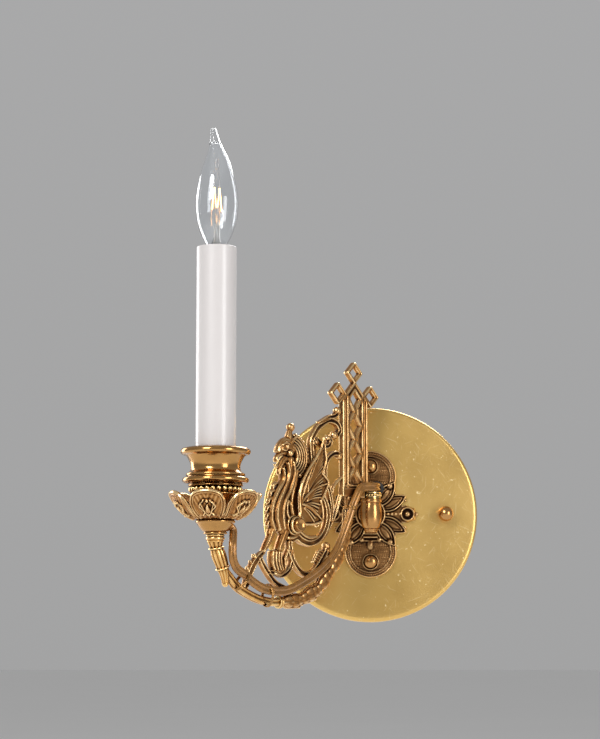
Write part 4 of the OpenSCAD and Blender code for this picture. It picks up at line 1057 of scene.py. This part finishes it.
def make_lattice_post():
    """Tower of two moulded rails with crossed bars between them, a gable and three open diamonds."""
    mid, half, rail, gable = 14.8, 10.7, 5.4, 77.0
    shoulder = gable - half
    s = Shell()
    for way in (-1, 1):
        centre = mid + way * (half - rail / 2)
        foot, head = (centre, POST_LOW), (centre, shoulder + 0.6)
        bar(s, foot, head, rail / 2 - 0.1, 1.35, 0.3)
        for offset, width, thick in ((-1.75, 0.82, HALF_T), (1.75, 0.82, HALF_T), (0.0, 0.42, 1.75)):
            bar(s, (centre + offset, POST_LOW), (centre + offset, shoulder + (0.6 - way * offset * 0.4)),
                width, thick, 0.45)
        # gable bar from the shoulder to the top
        outer = (mid + way * (half - 1.3), shoulder - 1.0)
        top = (mid, gable - 1.9)
        bar(s, (outer[0] - way * 1.2, outer[1] - 0.2), (top[0] - way * 0.6, top[1] - 1.2), 2.1, 1.35, 0.3)
        bar(s, outer, top, 0.85, HALF_T, 0.45)
        bar(s, (outer[0] - way * 2.9, outer[1] - 1.2), (mid, gable - 5.6), 0.8, HALF_T, 0.45)
    bar(s, (mid - half, POST_LOW + 1.3), (mid + half, POST_LOW + 1.3), 1.3, 1.5, 0.4)
    bar(s, (mid - half + 2, POST_LOW + 2.7), (mid + half - 2, POST_LOW + 2.7), 0.6, 1.9, 0.3)
    # crossed bars
    low, pitch = POST_LOW + 3.0, 16.2
    inner = half - rail
    count = int((shoulder - low + 1) / pitch)
    for k in range(count):
        centre = shoulder - (k + 0.5) * pitch
        for way in (-1, 1):
            a = (mid - inner - 0.5, centre - way * (pitch / 2 + 0.4))
            b = (mid + inner + 0.5, centre + way * (pitch / 2 + 0.4))
            bar(s, a, b, 1.4, 1.95, 0.8)
    # diamonds
    for u, z in ((mid - half - 3, shoulder + 1.8), (mid, gable + 4.1), (mid + half + 3, shoulder + 1.8)):
        reach, hole = 6.7, 3.5
        corners = [(u + r * math.cos(a), z + r * math.sin(a)) for r in ((reach + hole) / 2 + 0.05,)
                   for a in np.radians((0, 90, 180, 270))]
        for k in range(4):
            a, b = np.array(corners[k]), np.array(corners[(k + 1) % 4])
            out = unit(b - a) * 0.75
            bar(s, a - out, b + out, 1.12, 1.5, 0.5)
            shift = unit((a + b) / 2 - np.array([u, z])) * 0.5
            bar(s, a - out * 0.6 + shift, b + out * 0.6 + shift, 0.55, HALF_T, 0.35)
    # block over the pivot
    s.slab([(-1, -HALF_T), (mid + half, -HALF_T), (mid + half, HALF_T), (-1, HALF_T)], POST_LOW - 0.05,
           POST_LOW + 1.4)
    disc = Shell()
    disc.lathe([(0, POST_LOW), (5.2, POST_LOW), (5.2, POST_LOW + 0.3), (0, POST_LOW + 0.3)], 48)
    s.add(disc.verts[0], disc.faces)
    s.slab([(7.2, -HALF_T), (mid + half, -HALF_T), (mid + half, HALF_T), (7.2, HALF_T)], KNUCKLE_LOW,
           POST_LOW + 1.0)
    cast("lattice_tower", s, on_arm, "swing_arm", ["lattice_post"], ANTIQUE, 0.28, 1, 4.0)


def make_scrolls():
    s = Shell()
    moulding(s, [(42, 8.6, 1.3), (46.4, 17, 1.4), (49.6, 27.9, 1.5), (50.6, 38, 1.6), (47.6, 43.6, 1.7),
                 (44.0, 47.6, 1.8), (36.7, 51.6, 1.8), (29.8, 50.6, 1.8), (27.2, 46.4, 1.6),
                 (29.6, 43.4, 1.5)])
    bud(s, 31.4, 43.4, 2.5)
    bud(s, 32.6, 44.6, 1.1)
    moulding(s, [(44, 49.6, 1.1), (36, 53.4, 1.4), (31.0, 54.8, 1.4), (28.4, 57.0, 1.7)])
    bud(s, 28.6, 57.8, 2.5)
    moulding(s, [(49.6, 40.2, 1.0), (47.4, 37.2, 1.3), (45.4, 38.2, 1.2)])
    bud(s, 46.4, 38.4, 2.1)
    moulding(s, [(46, 40.5, 1.0), (42.6, 37.6, 1.2), (39.6, 36.4, 1.4), (36.2, 37.2, 1.4), (34.8, 40.0, 1.3),
                 (36.4, 42.4, 1.0)])
    bud(s, 36.8, 41.4, 1.5)
    moulding(s, [(26, 31.4, 1.7), (29.4, 33.0, 1.6), (33.4, 32.2, 1.5), (37.8, 28.6, 1.5), (39.6, 23.4, 1.5),
                 (39.2, 17.4, 1.5), (36.4, 11.4, 1.4), (34.4, 4.6, 1.3), (34.2, -1, 1.2), (34.8, -6, 1.1)])
    bud(s, 27.6, 31.6, 2.3)
    moulding(s, [(42.5, 9, 1.2), (39.2, 4.6, 1.5), (37.3, -1.0, 1.8), (37.6, -6.4, 1.8), (40.2, -12.6, 1.8),
                 (45.4, -17.6, 1.9), (52, -19.6, 2.0), (58, -18.4, 2.1), (62.6, -16.2, 2.2),
                 (67, -18.5, 2.0)])
    strand(s, [(46.5, -15.6, 1.1), (52, -16.4, 1.6), (57.6, -14.6, 1.3), (60.6, -12.4, 1.0)], 1.9)
    strand(s, [(44.6, 5.4, 1.0), (42.4, 0, 1.3), (42.8, -5.4, 1.2), (45.4, -9.4, 0.9)], 1.6)
    strand(s, [(26, 9, 1.0), (30.2, -1.5, 1.0), (36, -11, 1.0), (41.5, -17, 1.0)], 1.5)
    strand(s, [(24.6, 20, 0.9), (31.2, 14.6, 1.1), (33.4, 8.0, 1.1), (31.6, 1.6, 0.9)], 1.5)
    moulding(s, [(38.4, -19.4, 1.3), (38.6, -23.2, 1.6), (41.5, -27.4, 1.8), (45.4, -32.2, 1.8),
                 (49.4, -36.0, 1.8), (54.4, -37.3, 1.8), (59.4, -35.6, 1.7), (63.2, -32.0, 1.7),
                 (67.2, -26, 1.7), (68, -19, 1.6)])
    bud(s, 37.6, -20.8, 2.4)
    bud(s, 37.0, -20.2, 1.2)
    strand(s, [(38.2, -22, 1.6), (36.2, -25.0, 1.6), (33.6, -27.6, 1.5)], 1.7)
    for k in range(5):
        t = k / 4
        strand(s, [(40.4 + 4.4 * t, -24.4 - 5.6 * t, 1.0), (43.4 + 4.0 * t, -23.2 - 5.8 * t, 1.0),
                   (45.4 + 3.6 * t, -24.4 - 5.6 * t, 0.5)], 1.2)
    moulding(s, [(91, -28.5, 1.3), (89.4, -31.4, 1.5), (86.2, -35.4, 1.6), (81.5, -40.4, 1.6),
                 (77.4, -43.2, 1.6), (72, -45.2, 1.6), (66, -47.8, 1.5)])
    moulding(s, [(102, -45.5, 1.5), (99.6, -39.5, 2.0), (97.2, -34.6, 2.2), (94, -30.4, 2.0),
                 (90.4, -27.0, 1.6), (88.0, -25.4, 1.2)])
    for t in (0.1, 0.35, 0.6, 0.85):
        u, z = 101 - 10 * t, -43 + 14 * t
        strand(s, [(u, z, 1.1), (u + 2.4, z + 1.6, 1.0), (u + 3.0, z + 4.0, 0.5)], 1.2)
    bud(s, 94.6, -28.2, 1.7)
    bud(s, 88.2, -25.8, 1.5)
    moulding(s, [(68.1, -21, 1.4), (66.2, -25.6, 1.3), (66.2, -30.8, 1.3), (69.0, -35.6, 1.4),
                 (74.2, -38.2, 1.4), (80, -36.8, 1.4), (85, -36.6, 1.2)])
    cast("pierced_scrolls", s, on_arm, "swing_arm", ["scroll_bracket"], ANTIQUE, 0.28, 1,
         4.0)


def make_griffin():
    """Beast with a horned, beaked head, a mane of strands, a banded body and fluted paws."""
    s = Shell()
    # body: three bands side by side over a core
    strand(s, [(67, 27, 3.0), (67.6, 20, 2.8), (71.4, 12, 3.0), (76, 2.6, 3.4), (76.6, -6.5, 3.8),
               (73.6, -12.6, 3.6)],
           2.6)
    strand(s, [(73.6, 21.6, 1.0), (73.2, 15.4, 1.5), (77.6, 9.2, 1.7), (81.4, 2.0, 1.8), (82.8, -6.0, 1.8),
               (80.6, -12.6, 1.7)], 2.9)
    strand(s, [(70.6, 24.6, 1.2), (69.6, 18.6, 1.6), (73.4, 10.0, 1.8), (77.6, 2.6, 1.9), (79.0, -5.4, 1.9),
               (77.0, -12.4, 1.8)], 3.5)
    strand(s, [(66.4, 25.4, 1.3), (65.6, 18.6, 1.7), (68.4, 10.6, 1.8), (73.0, 3.0, 1.8), (74.6, -4.6, 1.8),
               (73.6, -11.6, 1.8)], 3.7)
    strand(s, [(62.6, 21.4, 1.6), (63.8, 14.6, 1.7), (66.0, 8.4, 1.5), (67.0, 1.8, 1.4),
               (65.6, -4.6, 1.5)], 2.4)
    strand(s, [(66.6, 0.6, 1.1), (69.8, 3.8, 1.0), (70.4, -2.6, 1.0), (68.6, -6.2, 1.0)], 2.2)
    # leaf bumps down the breast
    for k in range(7):
        t = k / 6
        u = 76.6 + 7.0 * math.sin(math.pi * (0.1 + 0.62 * t))
        z = 12.0 - 25.0 * t
        strand(s, [(u - 0.6, z + 1.4, 1.0), (u + 1.6, z, 0.9), (u + 2.3, z - 1.8, 0.5)], 1.5)
    # shoulder ring
    ring = [(SHOULDER[0] + 5.2 * math.cos(a), SHOULDER[1] + 5.2 * math.sin(a), 1.0)
            for a in np.linspace(0, 2 * math.pi, 25)]
    strand(s, ring, 2.6)
    strand(s, [(66, -9.8, 3.6), (71, -10.8, 3.8), (76, -9.6, 3.6)], 2.4)
    # head
    strand(s, [(66.2, 33.6, 3.6), (69.4, 34.4, 3.8), (72.4, 34.2, 3.0), (74.8, 33.0, 2.3)], 3.2)
    strand(s, [(68.4, 37.2, 2.0), (71.4, 37.8, 2.0), (74.2, 36.0, 1.8), (76.2, 33.6, 1.5),
               (77.2, 31.4, 1.2)], 2.8)
    strand(s, [(68.0, 36.6, 2.9), (68.1, 39.6, 2.5), (67.5, 42.4, 1.9), (66.8, 44.4, 1.5)], None)
    bud(s, 66.5, 45.6, 2.5)
    for way in (-1, 1):
        s.ball(71.8, way * 2.8, 34.0, 1.3, 8)
        strand(s, [(70.0, 35.4, 0.6), (72.4, 36.3, 0.75), (75.0, 35.0, 0.55)], 0.6, way * 2.7)
        strand(s, [(70.6, 33.0, 0.5), (73.0, 32.0, 0.6), (75.4, 32.6, 0.5)], 0.5, way * 2.6)
        s.ball(76.6, way * 1.1, 31.8, 0.8, 6)
        # cheek and ear
        s.ball(69.0, way * 2.3, 30.6, 1.9, 8)
        strand(s, [(68.0, 36.0, 1.1), (65.6, 38.8, 0.9), (63.4, 40.6, 0.4)], 0.8, way * 2.2)
    # open jaws and curled tongue
    strand(s, [(70.4, 31.6, 2.3), (74.0, 30.6, 1.6), (76.6, 29.0, 1.3), (78.2, 27.2, 1.0),
               (78.4, 25.6, 0.7)], 1.9)
    strand(s, [(70.4, 27.6, 1.9), (73.6, 24.6, 1.5), (75.6, 21.2, 1.2), (76.2, 18.6, 0.8)], 1.7)
    strand(s, [(71.6, 28.4, 0.9), (74.0, 26.4, 0.9), (75.8, 23.6, 0.9), (77.6, 22.4, 0.9),
               (79.0, 23.6, 0.8)], 1.0)
    strand(s, [(72.2, 23.4, 1.1), (73.4, 19.4, 0.9), (72.6, 16.4, 0.6)], 1.2)
    # mane: nested strands from the crown round to the nape, with a scaled outer edge
    for k in range(5):
        grow = 2.0 * k
        a = np.radians(np.linspace(100, 262 - 6 * k, 9))
        line = [(67.6 - 0.2 * k + (4.2 + grow) * math.cos(t), 29.0 + (5.2 + grow * 0.86) * math.sin(t),
                 0.8 + 0.38 * math.sin((t - a[0]) / (a[-1] - a[0]) * math.pi)) for t in a]
        strand(s, line, 3.4 - 0.42 * k)
    for t in np.radians(np.linspace(106, 236, 13)):
        s.ball(66.8 + 13.2 * math.cos(t), 0, 29.0 + 12.7 * math.sin(t), 1.25, 7, 1.5)
    # legs and paws
    strand(s, [(71.2, -13.6, 3.0), (74.0, -18.6, 2.6), (76.4, -23.4, 2.2)], 2.7)
    strand(s, [(80.2, -10.6, 2.9), (82.6, -16.4, 2.4), (86.0, -21.8, 2.0), (88.0, -24.6, 1.5)], 2.3)
    for k in range(4):
        u = 75.0 + 2.1 * k
        strand(s, [(u + 0.4, -25.2, 1.1), (u + 0.8, -28.6, 1.35), (u + 0.3, -32.0, 1.35),
                   (u - 0.9, -35.0, 1.0)],
               3.3 - 0.35 * abs(k - 1.5))
    strand(s, [(73.4, -34.6, 1.2), (76.4, -36.4, 1.2), (79.2, -34.2, 1.0)], 2.4)
    # curling leaf at the foot, and a tail
    strand(s, [(69.2, -23.6, 1.1), (71.8, -29.0, 1.2), (71.8, -34.2, 1.3), (75.0, -37.6, 1.4),
               (79.4, -37.2, 1.3)], 2.2)
    for k in range(5):
        s.ball(73.0 + 1.5 * k, 0, -37.8 + 0.35 * (k - 2) ** 2 * 0.5, 0.95, 6, 1.9)
    strand(s, [(61.0, -14.6, 1.2), (65.4, -16.6, 1.6), (69.6, -17.0, 1.4)], 2.4)
    cast("griffin", s, on_arm, "swing_arm", ["griffin_body"], ANTIQUE, 0.26, 1, 4.0)


def make_wings():
    """Bat-like wing on each side: three webs with fine pleats between raised bones and rolled edges."""
    lead = [(62.4, -3), (63, 6.1), (61.3, 13), (56.9, 20.6), (51.2, 27.2), (46.3, 33.8), (43.4, 41.0)]
    edge = lead + [(42.4, 33.4), (41.8, 27.2), (45, 20.6), (41.4, 17.6), (39.4, 14.6), (43, 8.6), (46.4, 4.4),
                   (44.6, -1.7), (45.4, -6.8), (52, -9.0), (58.6, -9.0)]
    root = np.array([62.6, 2.6])
    s = Shell()
    for way in (-1, 1):
        middle = way * 3.35
        n = len(edge)
        verts = [(u, middle + d, z) for d in (-0.5, 0.5) for u, z in edge]
        s.add(verts, [tuple(range(n))[::-1], tuple(range(n, 2 * n))]
              + [(k, (k + 1) % n, n + (k + 1) % n, n + k) for k in range(n)])
        top = way * 3.9
        strand(s, [(u, z, 0.95 - 0.05 * i) for i, (u, z) in enumerate(lead)], 0.95, top)
        # bones
        for tip in ((43.0, 39.4), (40.2, 15.0), (45.2, -6.2)):
            mid = root + (np.array(tip) - root) * 0.5 + np.array([0.4, 2.2])
            strand(s, [(root[0], root[1], 0.9), (mid[0], mid[1], 0.75), (tip[0], tip[1], 0.5)], 0.85, top)
        # rolled outer edges
        for line in (((43.2, 38.0), (42.4, 32.4), (41.9, 27.4), (44.8, 20.8)),
                     ((44.8, 20.4), (42.6, 18.6), (40.0, 15.4), (42.6, 9.6), (46.2, 4.6)),
                     ((46.2, 4.2), (45.0, 1.4), (44.6, -1.7), (45.2, -6.6), (52, -8.8), (58, -9.2))):
            strand(s, [(u, z, 0.75) for u, z in line], 0.95, top)
        # pleats
        for first, last, count in (((44.0, 36.0), (44.6, 21.4), 7), ((44.0, 19.0), (46.2, 5.6), 7),
                                   ((46.2, 3.4), (52.0, -8.2), 6)):
            for t in np.linspace(0.08, 0.92, count):
                end = np.array(first) + (np.array(last) - np.array(first)) * t
                start = root + (end - root) * (0.34 if count == 7 else 0.3)
                bend = (start + end) / 2 + np.array([0.2, 0.7])
                strand(s, [(start[0], start[1], 0.3), (bend[0], bend[1], 0.42),
                           (end[0], end[1], 0.55)], 0.75, way * 3.7,
                       sides=6)
        for t in np.linspace(0.12, 0.9, 9):
            p = np.array(lead[2]) + (np.array(lead[6]) - np.array(lead[2])) * t
            s.ball(p[0] - 2.4 + 1.2 * t, way * 3.8, p[1] + 0.4 - 2.8 * (1 - t), 0.5, 5)
        ring = [(SHOULDER[0] + 4.1 * math.cos(a), SHOULDER[1] + 4.1 * math.sin(a), 0.9)
                for a in np.linspace(0, 2 * math.pi, 21)]
        strand(s, ring, 0.95, top)
        strand(s, [(62.4, -3, 1.2), (63.4, -6.6, 1.2)], 0.95, top)
    cast("wings", s, on_arm, "swing_arm", ["griffin_wings"], ANTIQUE, 0.24, 1, 4.5)


def make_shoulder_screw():
    s = Shell()
    seat, head = 4.8, 7.4
    s.lathe([(0, seat), (3.5, seat), (3.9, seat + 0.4), (3.9, head - 0.7), (3.5, head - 0.1), (3.0, head),
             (2.7, head - 0.25), (1.4, head - 0.75), (0, head - 0.9)], 64)
    s.lathe([(0, -6.8), (1.5, -6.8), (1.5, seat), (0, seat)], 24)
    s.lathe([(0, -6.8), (3.4, -6.8), (3.46, -6.4), (3.46, -5.0), (0, -5.0)], 6)
    place = lambda p: on_arm(np.column_stack([SHOULDER[0] + p[:, 0], p[:, 2], SHOULDER[1] + p[:, 1]]))
    piece("screw_boss", s, place, "swing_arm", ["shoulder_screw"], URN, 35)


def reeded(shell, points, reeds=9, deep=0.3, out=0.74, core=0.86):
    """Round branch through [along, up, radius] points with reeds along it; sizes are shares of its radius."""
    q = curve([[u, 0, z, r] for u, z, r in points], 0.8)
    step = np.gradient(q[:, [0, 2]], axis=0)
    step /= np.linalg.norm(step, axis=1)[:, None] + 1e-9
    shell.tube([[p[0], 0, p[2], p[3] * core, p[3] * core] for p in q], 16, spacing=99)
    for k in range(reeds):
        a = 2 * math.pi * (k + 0.5) / reeds
        shell.tube([[p[0] - s[1] * p[3] * out * math.cos(a), p[3] * out * math.sin(a),
                     p[2] + s[0] * p[3] * out * math.cos(a), p[3] * deep, p[3] * deep]
                    for p, s in zip(q, step)], 8, spacing=99)


BRANCH_LINE = [(118.6, -34.5, 2.2), (114.4, -39, 2.5), (106.7, -45.6, BRANCH_R), (94, -50.8, BRANCH_R),
               (84, -52.8, BRANCH_R), (76.8, -53, BRANCH_R)]
LEAF_LINE = [(74.6, -53, 2.6), (68, -52.6, 2.9), (62, -51.8, 2.6), (57, -50.4, 2.9), (50, -47.4, 2.6),
             (45, -44.6, 2.8), (39, -38.8, 2.5), (32.6, -32.2, 2.6), (26, -22.6, 2.3), (21.8, -12, 2.1),
             (20, -1, 1.9), (19.8, 9.4, 1.8)]


def make_branch():
    s = Shell()
    reeded(s, BRANCH_LINE, 4, 0.5, 0.53, 0.6)
    cast("reeded_branch", s, on_arm, "swing_arm", ["branch_arm"], ANTIQUE_TURNED, 0.26, 1,
         4.0)
    band = Shell()
    r = BRANCH_R
    band.lathe([(0, -1.3), (r + 0.3, -1.3)] + arc(r + 0.3, -0.8, 0.5, -90, 60, 5) + [(r + 0.35, -0.35)]
               + arc(r + 0.45, 0, 0.42, -60, 60, 5) + [(r + 0.35, 0.35)] + arc(r + 0.3, 0.8, 0.5, -60, 90, 5)
               + [(0, 1.3)], 48)
    place = lambda p: on_arm(np.column_stack([75.6 + p[:, 2], p[:, 0], -53 + p[:, 1]]))
    piece("band_ring", band, place, "swing_arm", ["arm_band"], ANTIQUE_TURNED, 50, gain=2.0)


def make_branch_leaf():
    """Stem wrapped in overlapping leaves whose lobes curl outwards, over a ribbed core."""
    s = Shell()
    reeded(s, LEAF_LINE, 7, 0.3)
    q = curve([[u, 0, z, r] for u, z, r in LEAF_LINE], 0.5)
    step = np.gradient(q[:, [0, 2]], axis=0)
    step /= np.linalg.norm(step, axis=1)[:, None]
    gaps = np.cumsum(np.r_[0, np.linalg.norm(np.diff(q[:, [0, 2]], axis=0), axis=1)])
    total = gaps[-1]
    for at in np.arange(1.5, total - 11, 4.3):
        i = int(np.searchsorted(gaps, at))
        p, d = q[i], step[i]
        n = np.array([-d[1], d[0]])
        size = p[3] / 2.6 * (1.55 + 0.2 * math.sin(at * 0.42))
        for way in (-1, 1):
            for turn, front in ((0.9, 1.0), (0.2, 1.9), (0.9, -1.0), (0.2, -1.9)):
                base = p[[0, 2]] + n * way * turn * 0.9
                tip = base + d * 4.4 * size + n * way * (1.4 * turn + 0.2) * size
                bend = base + d * 2.4 * size + n * way * 0.6 * size
                s.tube([[base[0], front * 0.8, base[1], 1.0 * size, 0.8],
                        [bend[0], front, bend[1], 1.25 * size, 1.0],
                        [tip[0], front * 0.95, tip[1], 0.5 * size, 0.5]], 10, spacing=0.7)
    for way in (-1, 1):
        s.tube([[p[0], way * (p[3] * 0.78), p[2], 0.55, 0.6] for p in q[::2]], 8, spacing=99)
    cast("leafed_branch", s, on_arm, "swing_arm", ["branch_leaf"], ANTIQUE, 0.26, 1, 4.0)


def make_terminal():
    """Turned drop under the candle that bends into the branch, with reeds and a ringed neck."""
    s = Shell()
    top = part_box("arm_terminal")[1].z / MM
    lathe = Shell()
    lathe.lathe([(0, top), (4.9, top), (5.2, top - 0.6), (4.7, top - 1.2), (5.2, top - 1.9), (5.2, top - 2.6),
                 (4.6, top - 3.2), (4.5, top - 4.2), (0, top - 4.2)], 64)
    s.add(lathe.verts[0] + [REACH, 0, 0], lathe.faces)
    reeded(s, [(REACH, -20.6, 4.4), (REACH - 0.9, -24.2, 3.5), (REACH - 2.4, -27.6, 4.1),
               (REACH - 4.2, -31.4, 3.9), (REACH - 5.8, -35.2, 3.3), (REACH - 7.2, -39.5, 2.5),
               (REACH - 7.6, -42.8, 1.9)], 10, 0.28)
    for u, z, r, lean in ((REACH - 0.85, -24.3, 3.9, 12), (REACH - 5.6, -34.8, 3.6, 24)):
        a = math.radians(lean)
        loop = [[u + r * math.cos(t) * math.cos(a), r * math.sin(t), z - r * math.cos(t) * math.sin(a), 0.55,
                 0.55]
                for t in np.linspace(0, 2 * math.pi, 25)]
        s.tube(loop, 8, normal=(0, 0, 1), spacing=99, caps=False)
    bud(s, REACH - 7.6, -43.6, 1.8)
    cast("turned_drop", s, on_arm, "swing_arm", ["arm_terminal"], ANTIQUE_TURNED, 0.26, 1,
         4.0)


make_knuckle()
make_lattice_post()
make_scrolls()
make_griffin()
make_wings()
make_shoulder_screw()
make_branch()
make_branch_leaf()
make_terminal()


# ---------- carried-over CAD nodes ----------

NODE_LOOKS = {"plate_brass": PLATE, "antique_brass": ANTIQUE, "rosette_brass": ROSETTE,
              "polished_brass": POLISHED, "steel": STEEL, "green_steel": GREEN, "sleeve_white": SLEEVE,
              "cord_gold": CORD, "wire_white": WIRE, "connector": CONNECTOR, "bushing": BUSHING,
              "phenolic": PHENOLIC, "cap_metal": CAP_METAL, "cap_insulator": INSULATOR, "clear_glass": GLASS,
              "lamp_wire": LAMP_WIRE, "filament_glow": GLOW}
for part in frame["record"]["subparts"]:
    node = frame["nodes"][part["node"]]
    node.data.materials.clear()
    node.data.materials.append(NODE_LOOKS[part["material_slot"]])


# ---------- camera, lights and floor ----------

def make_camera():
    """A long lens a little below the plate, looking up, level with the room."""
    data = bpy.data.cameras.new("camera")
    camera = bpy.data.objects.new("camera", data)
    bpy.context.scene.collection.objects.link(camera)
    data.lens = 102.3
    data.sensor_width = 36
    data.clip_start, data.clip_end = 0.01, 50
    camera.location = (-0.0416, -1.257, -0.0739)
    camera.rotation_euler = (math.radians(90 + 7.34), 0, 0)
    bpy.context.scene.camera = camera


def area_light(name, place, target, size, watts, colour=(1, 1, 1)):
    data = bpy.data.lights.new(name, "AREA")
    data.shape = "RECTANGLE"
    data.size, data.size_y = size
    data.energy = watts
    data.color = colour
    light = bpy.data.objects.new(name, data)
    bpy.context.scene.collection.objects.link(light)
    light.location = place
    light.rotation_euler = (Vector(target) - Vector(place)).to_track_quat("-Z", "Y").to_euler()


def make_studio():
    floor_z = -0.26
    mesh = bpy.data.meshes.new("floor")
    size = 12
    mesh.from_pydata([(-size, -size, floor_z), (size, -size, floor_z), (size, size, floor_z),
                      (-size, size, floor_z)], [], [(0, 1, 2, 3)])
    floor = bpy.data.objects.new("floor", mesh)
    bpy.context.scene.collection.objects.link(floor)
    mesh.materials.append(plain("floor_paint", (0.80, 0.80, 0.79), 0.0, 0.8, scale=3, vary=0.02))
    world = bpy.data.worlds.new("studio")
    bpy.context.scene.world = world
    bpy.context.scene.view_settings.view_transform = "Standard"
    world.use_nodes = True
    tree = world.node_tree
    coord = tree.nodes.new("ShaderNodeTexCoord")
    split = tree.nodes.new("ShaderNodeSeparateXYZ")
    ramp = tree.nodes.new("ShaderNodeValToRGB")
    ramp.color_ramp.elements[0].position = 0.35
    ramp.color_ramp.elements[0].color = (0.62, 0.62, 0.62, 1)
    ramp.color_ramp.elements[1].position = 0.9
    ramp.color_ramp.elements[1].color = (0.80, 0.80, 0.81, 1)
    shift = tree.nodes.new("ShaderNodeMapRange")
    shift.inputs["From Min"].default_value = -1
    tree.links.new(coord.outputs["Generated"], split.inputs["Vector"])
    tree.links.new(split.outputs["Z"], shift.inputs["Value"])
    tree.links.new(shift.outputs["Result"], ramp.inputs["Fac"])
    tree.links.new(ramp.outputs["Color"], tree.nodes["Background"].inputs["Color"])
    tree.nodes["Background"].inputs["Strength"].default_value = 0.55
    centre = (-0.04, -0.05, 0.06)
    area_light("key", (-0.75, -1.3, 0.85), centre, (0.5, 0.7), 17)
    area_light("fill", (1.0, -1.1, 0.2), centre, (0.5, 0.9), 9)
    area_light("rim", (0.4, 0.9, 0.9), centre, (0.6, 0.5), 12)
    area_light("back_left", (-0.9, 0.6, 0.2), centre, (0.4, 0.8), 6)


make_camera()
make_studio()
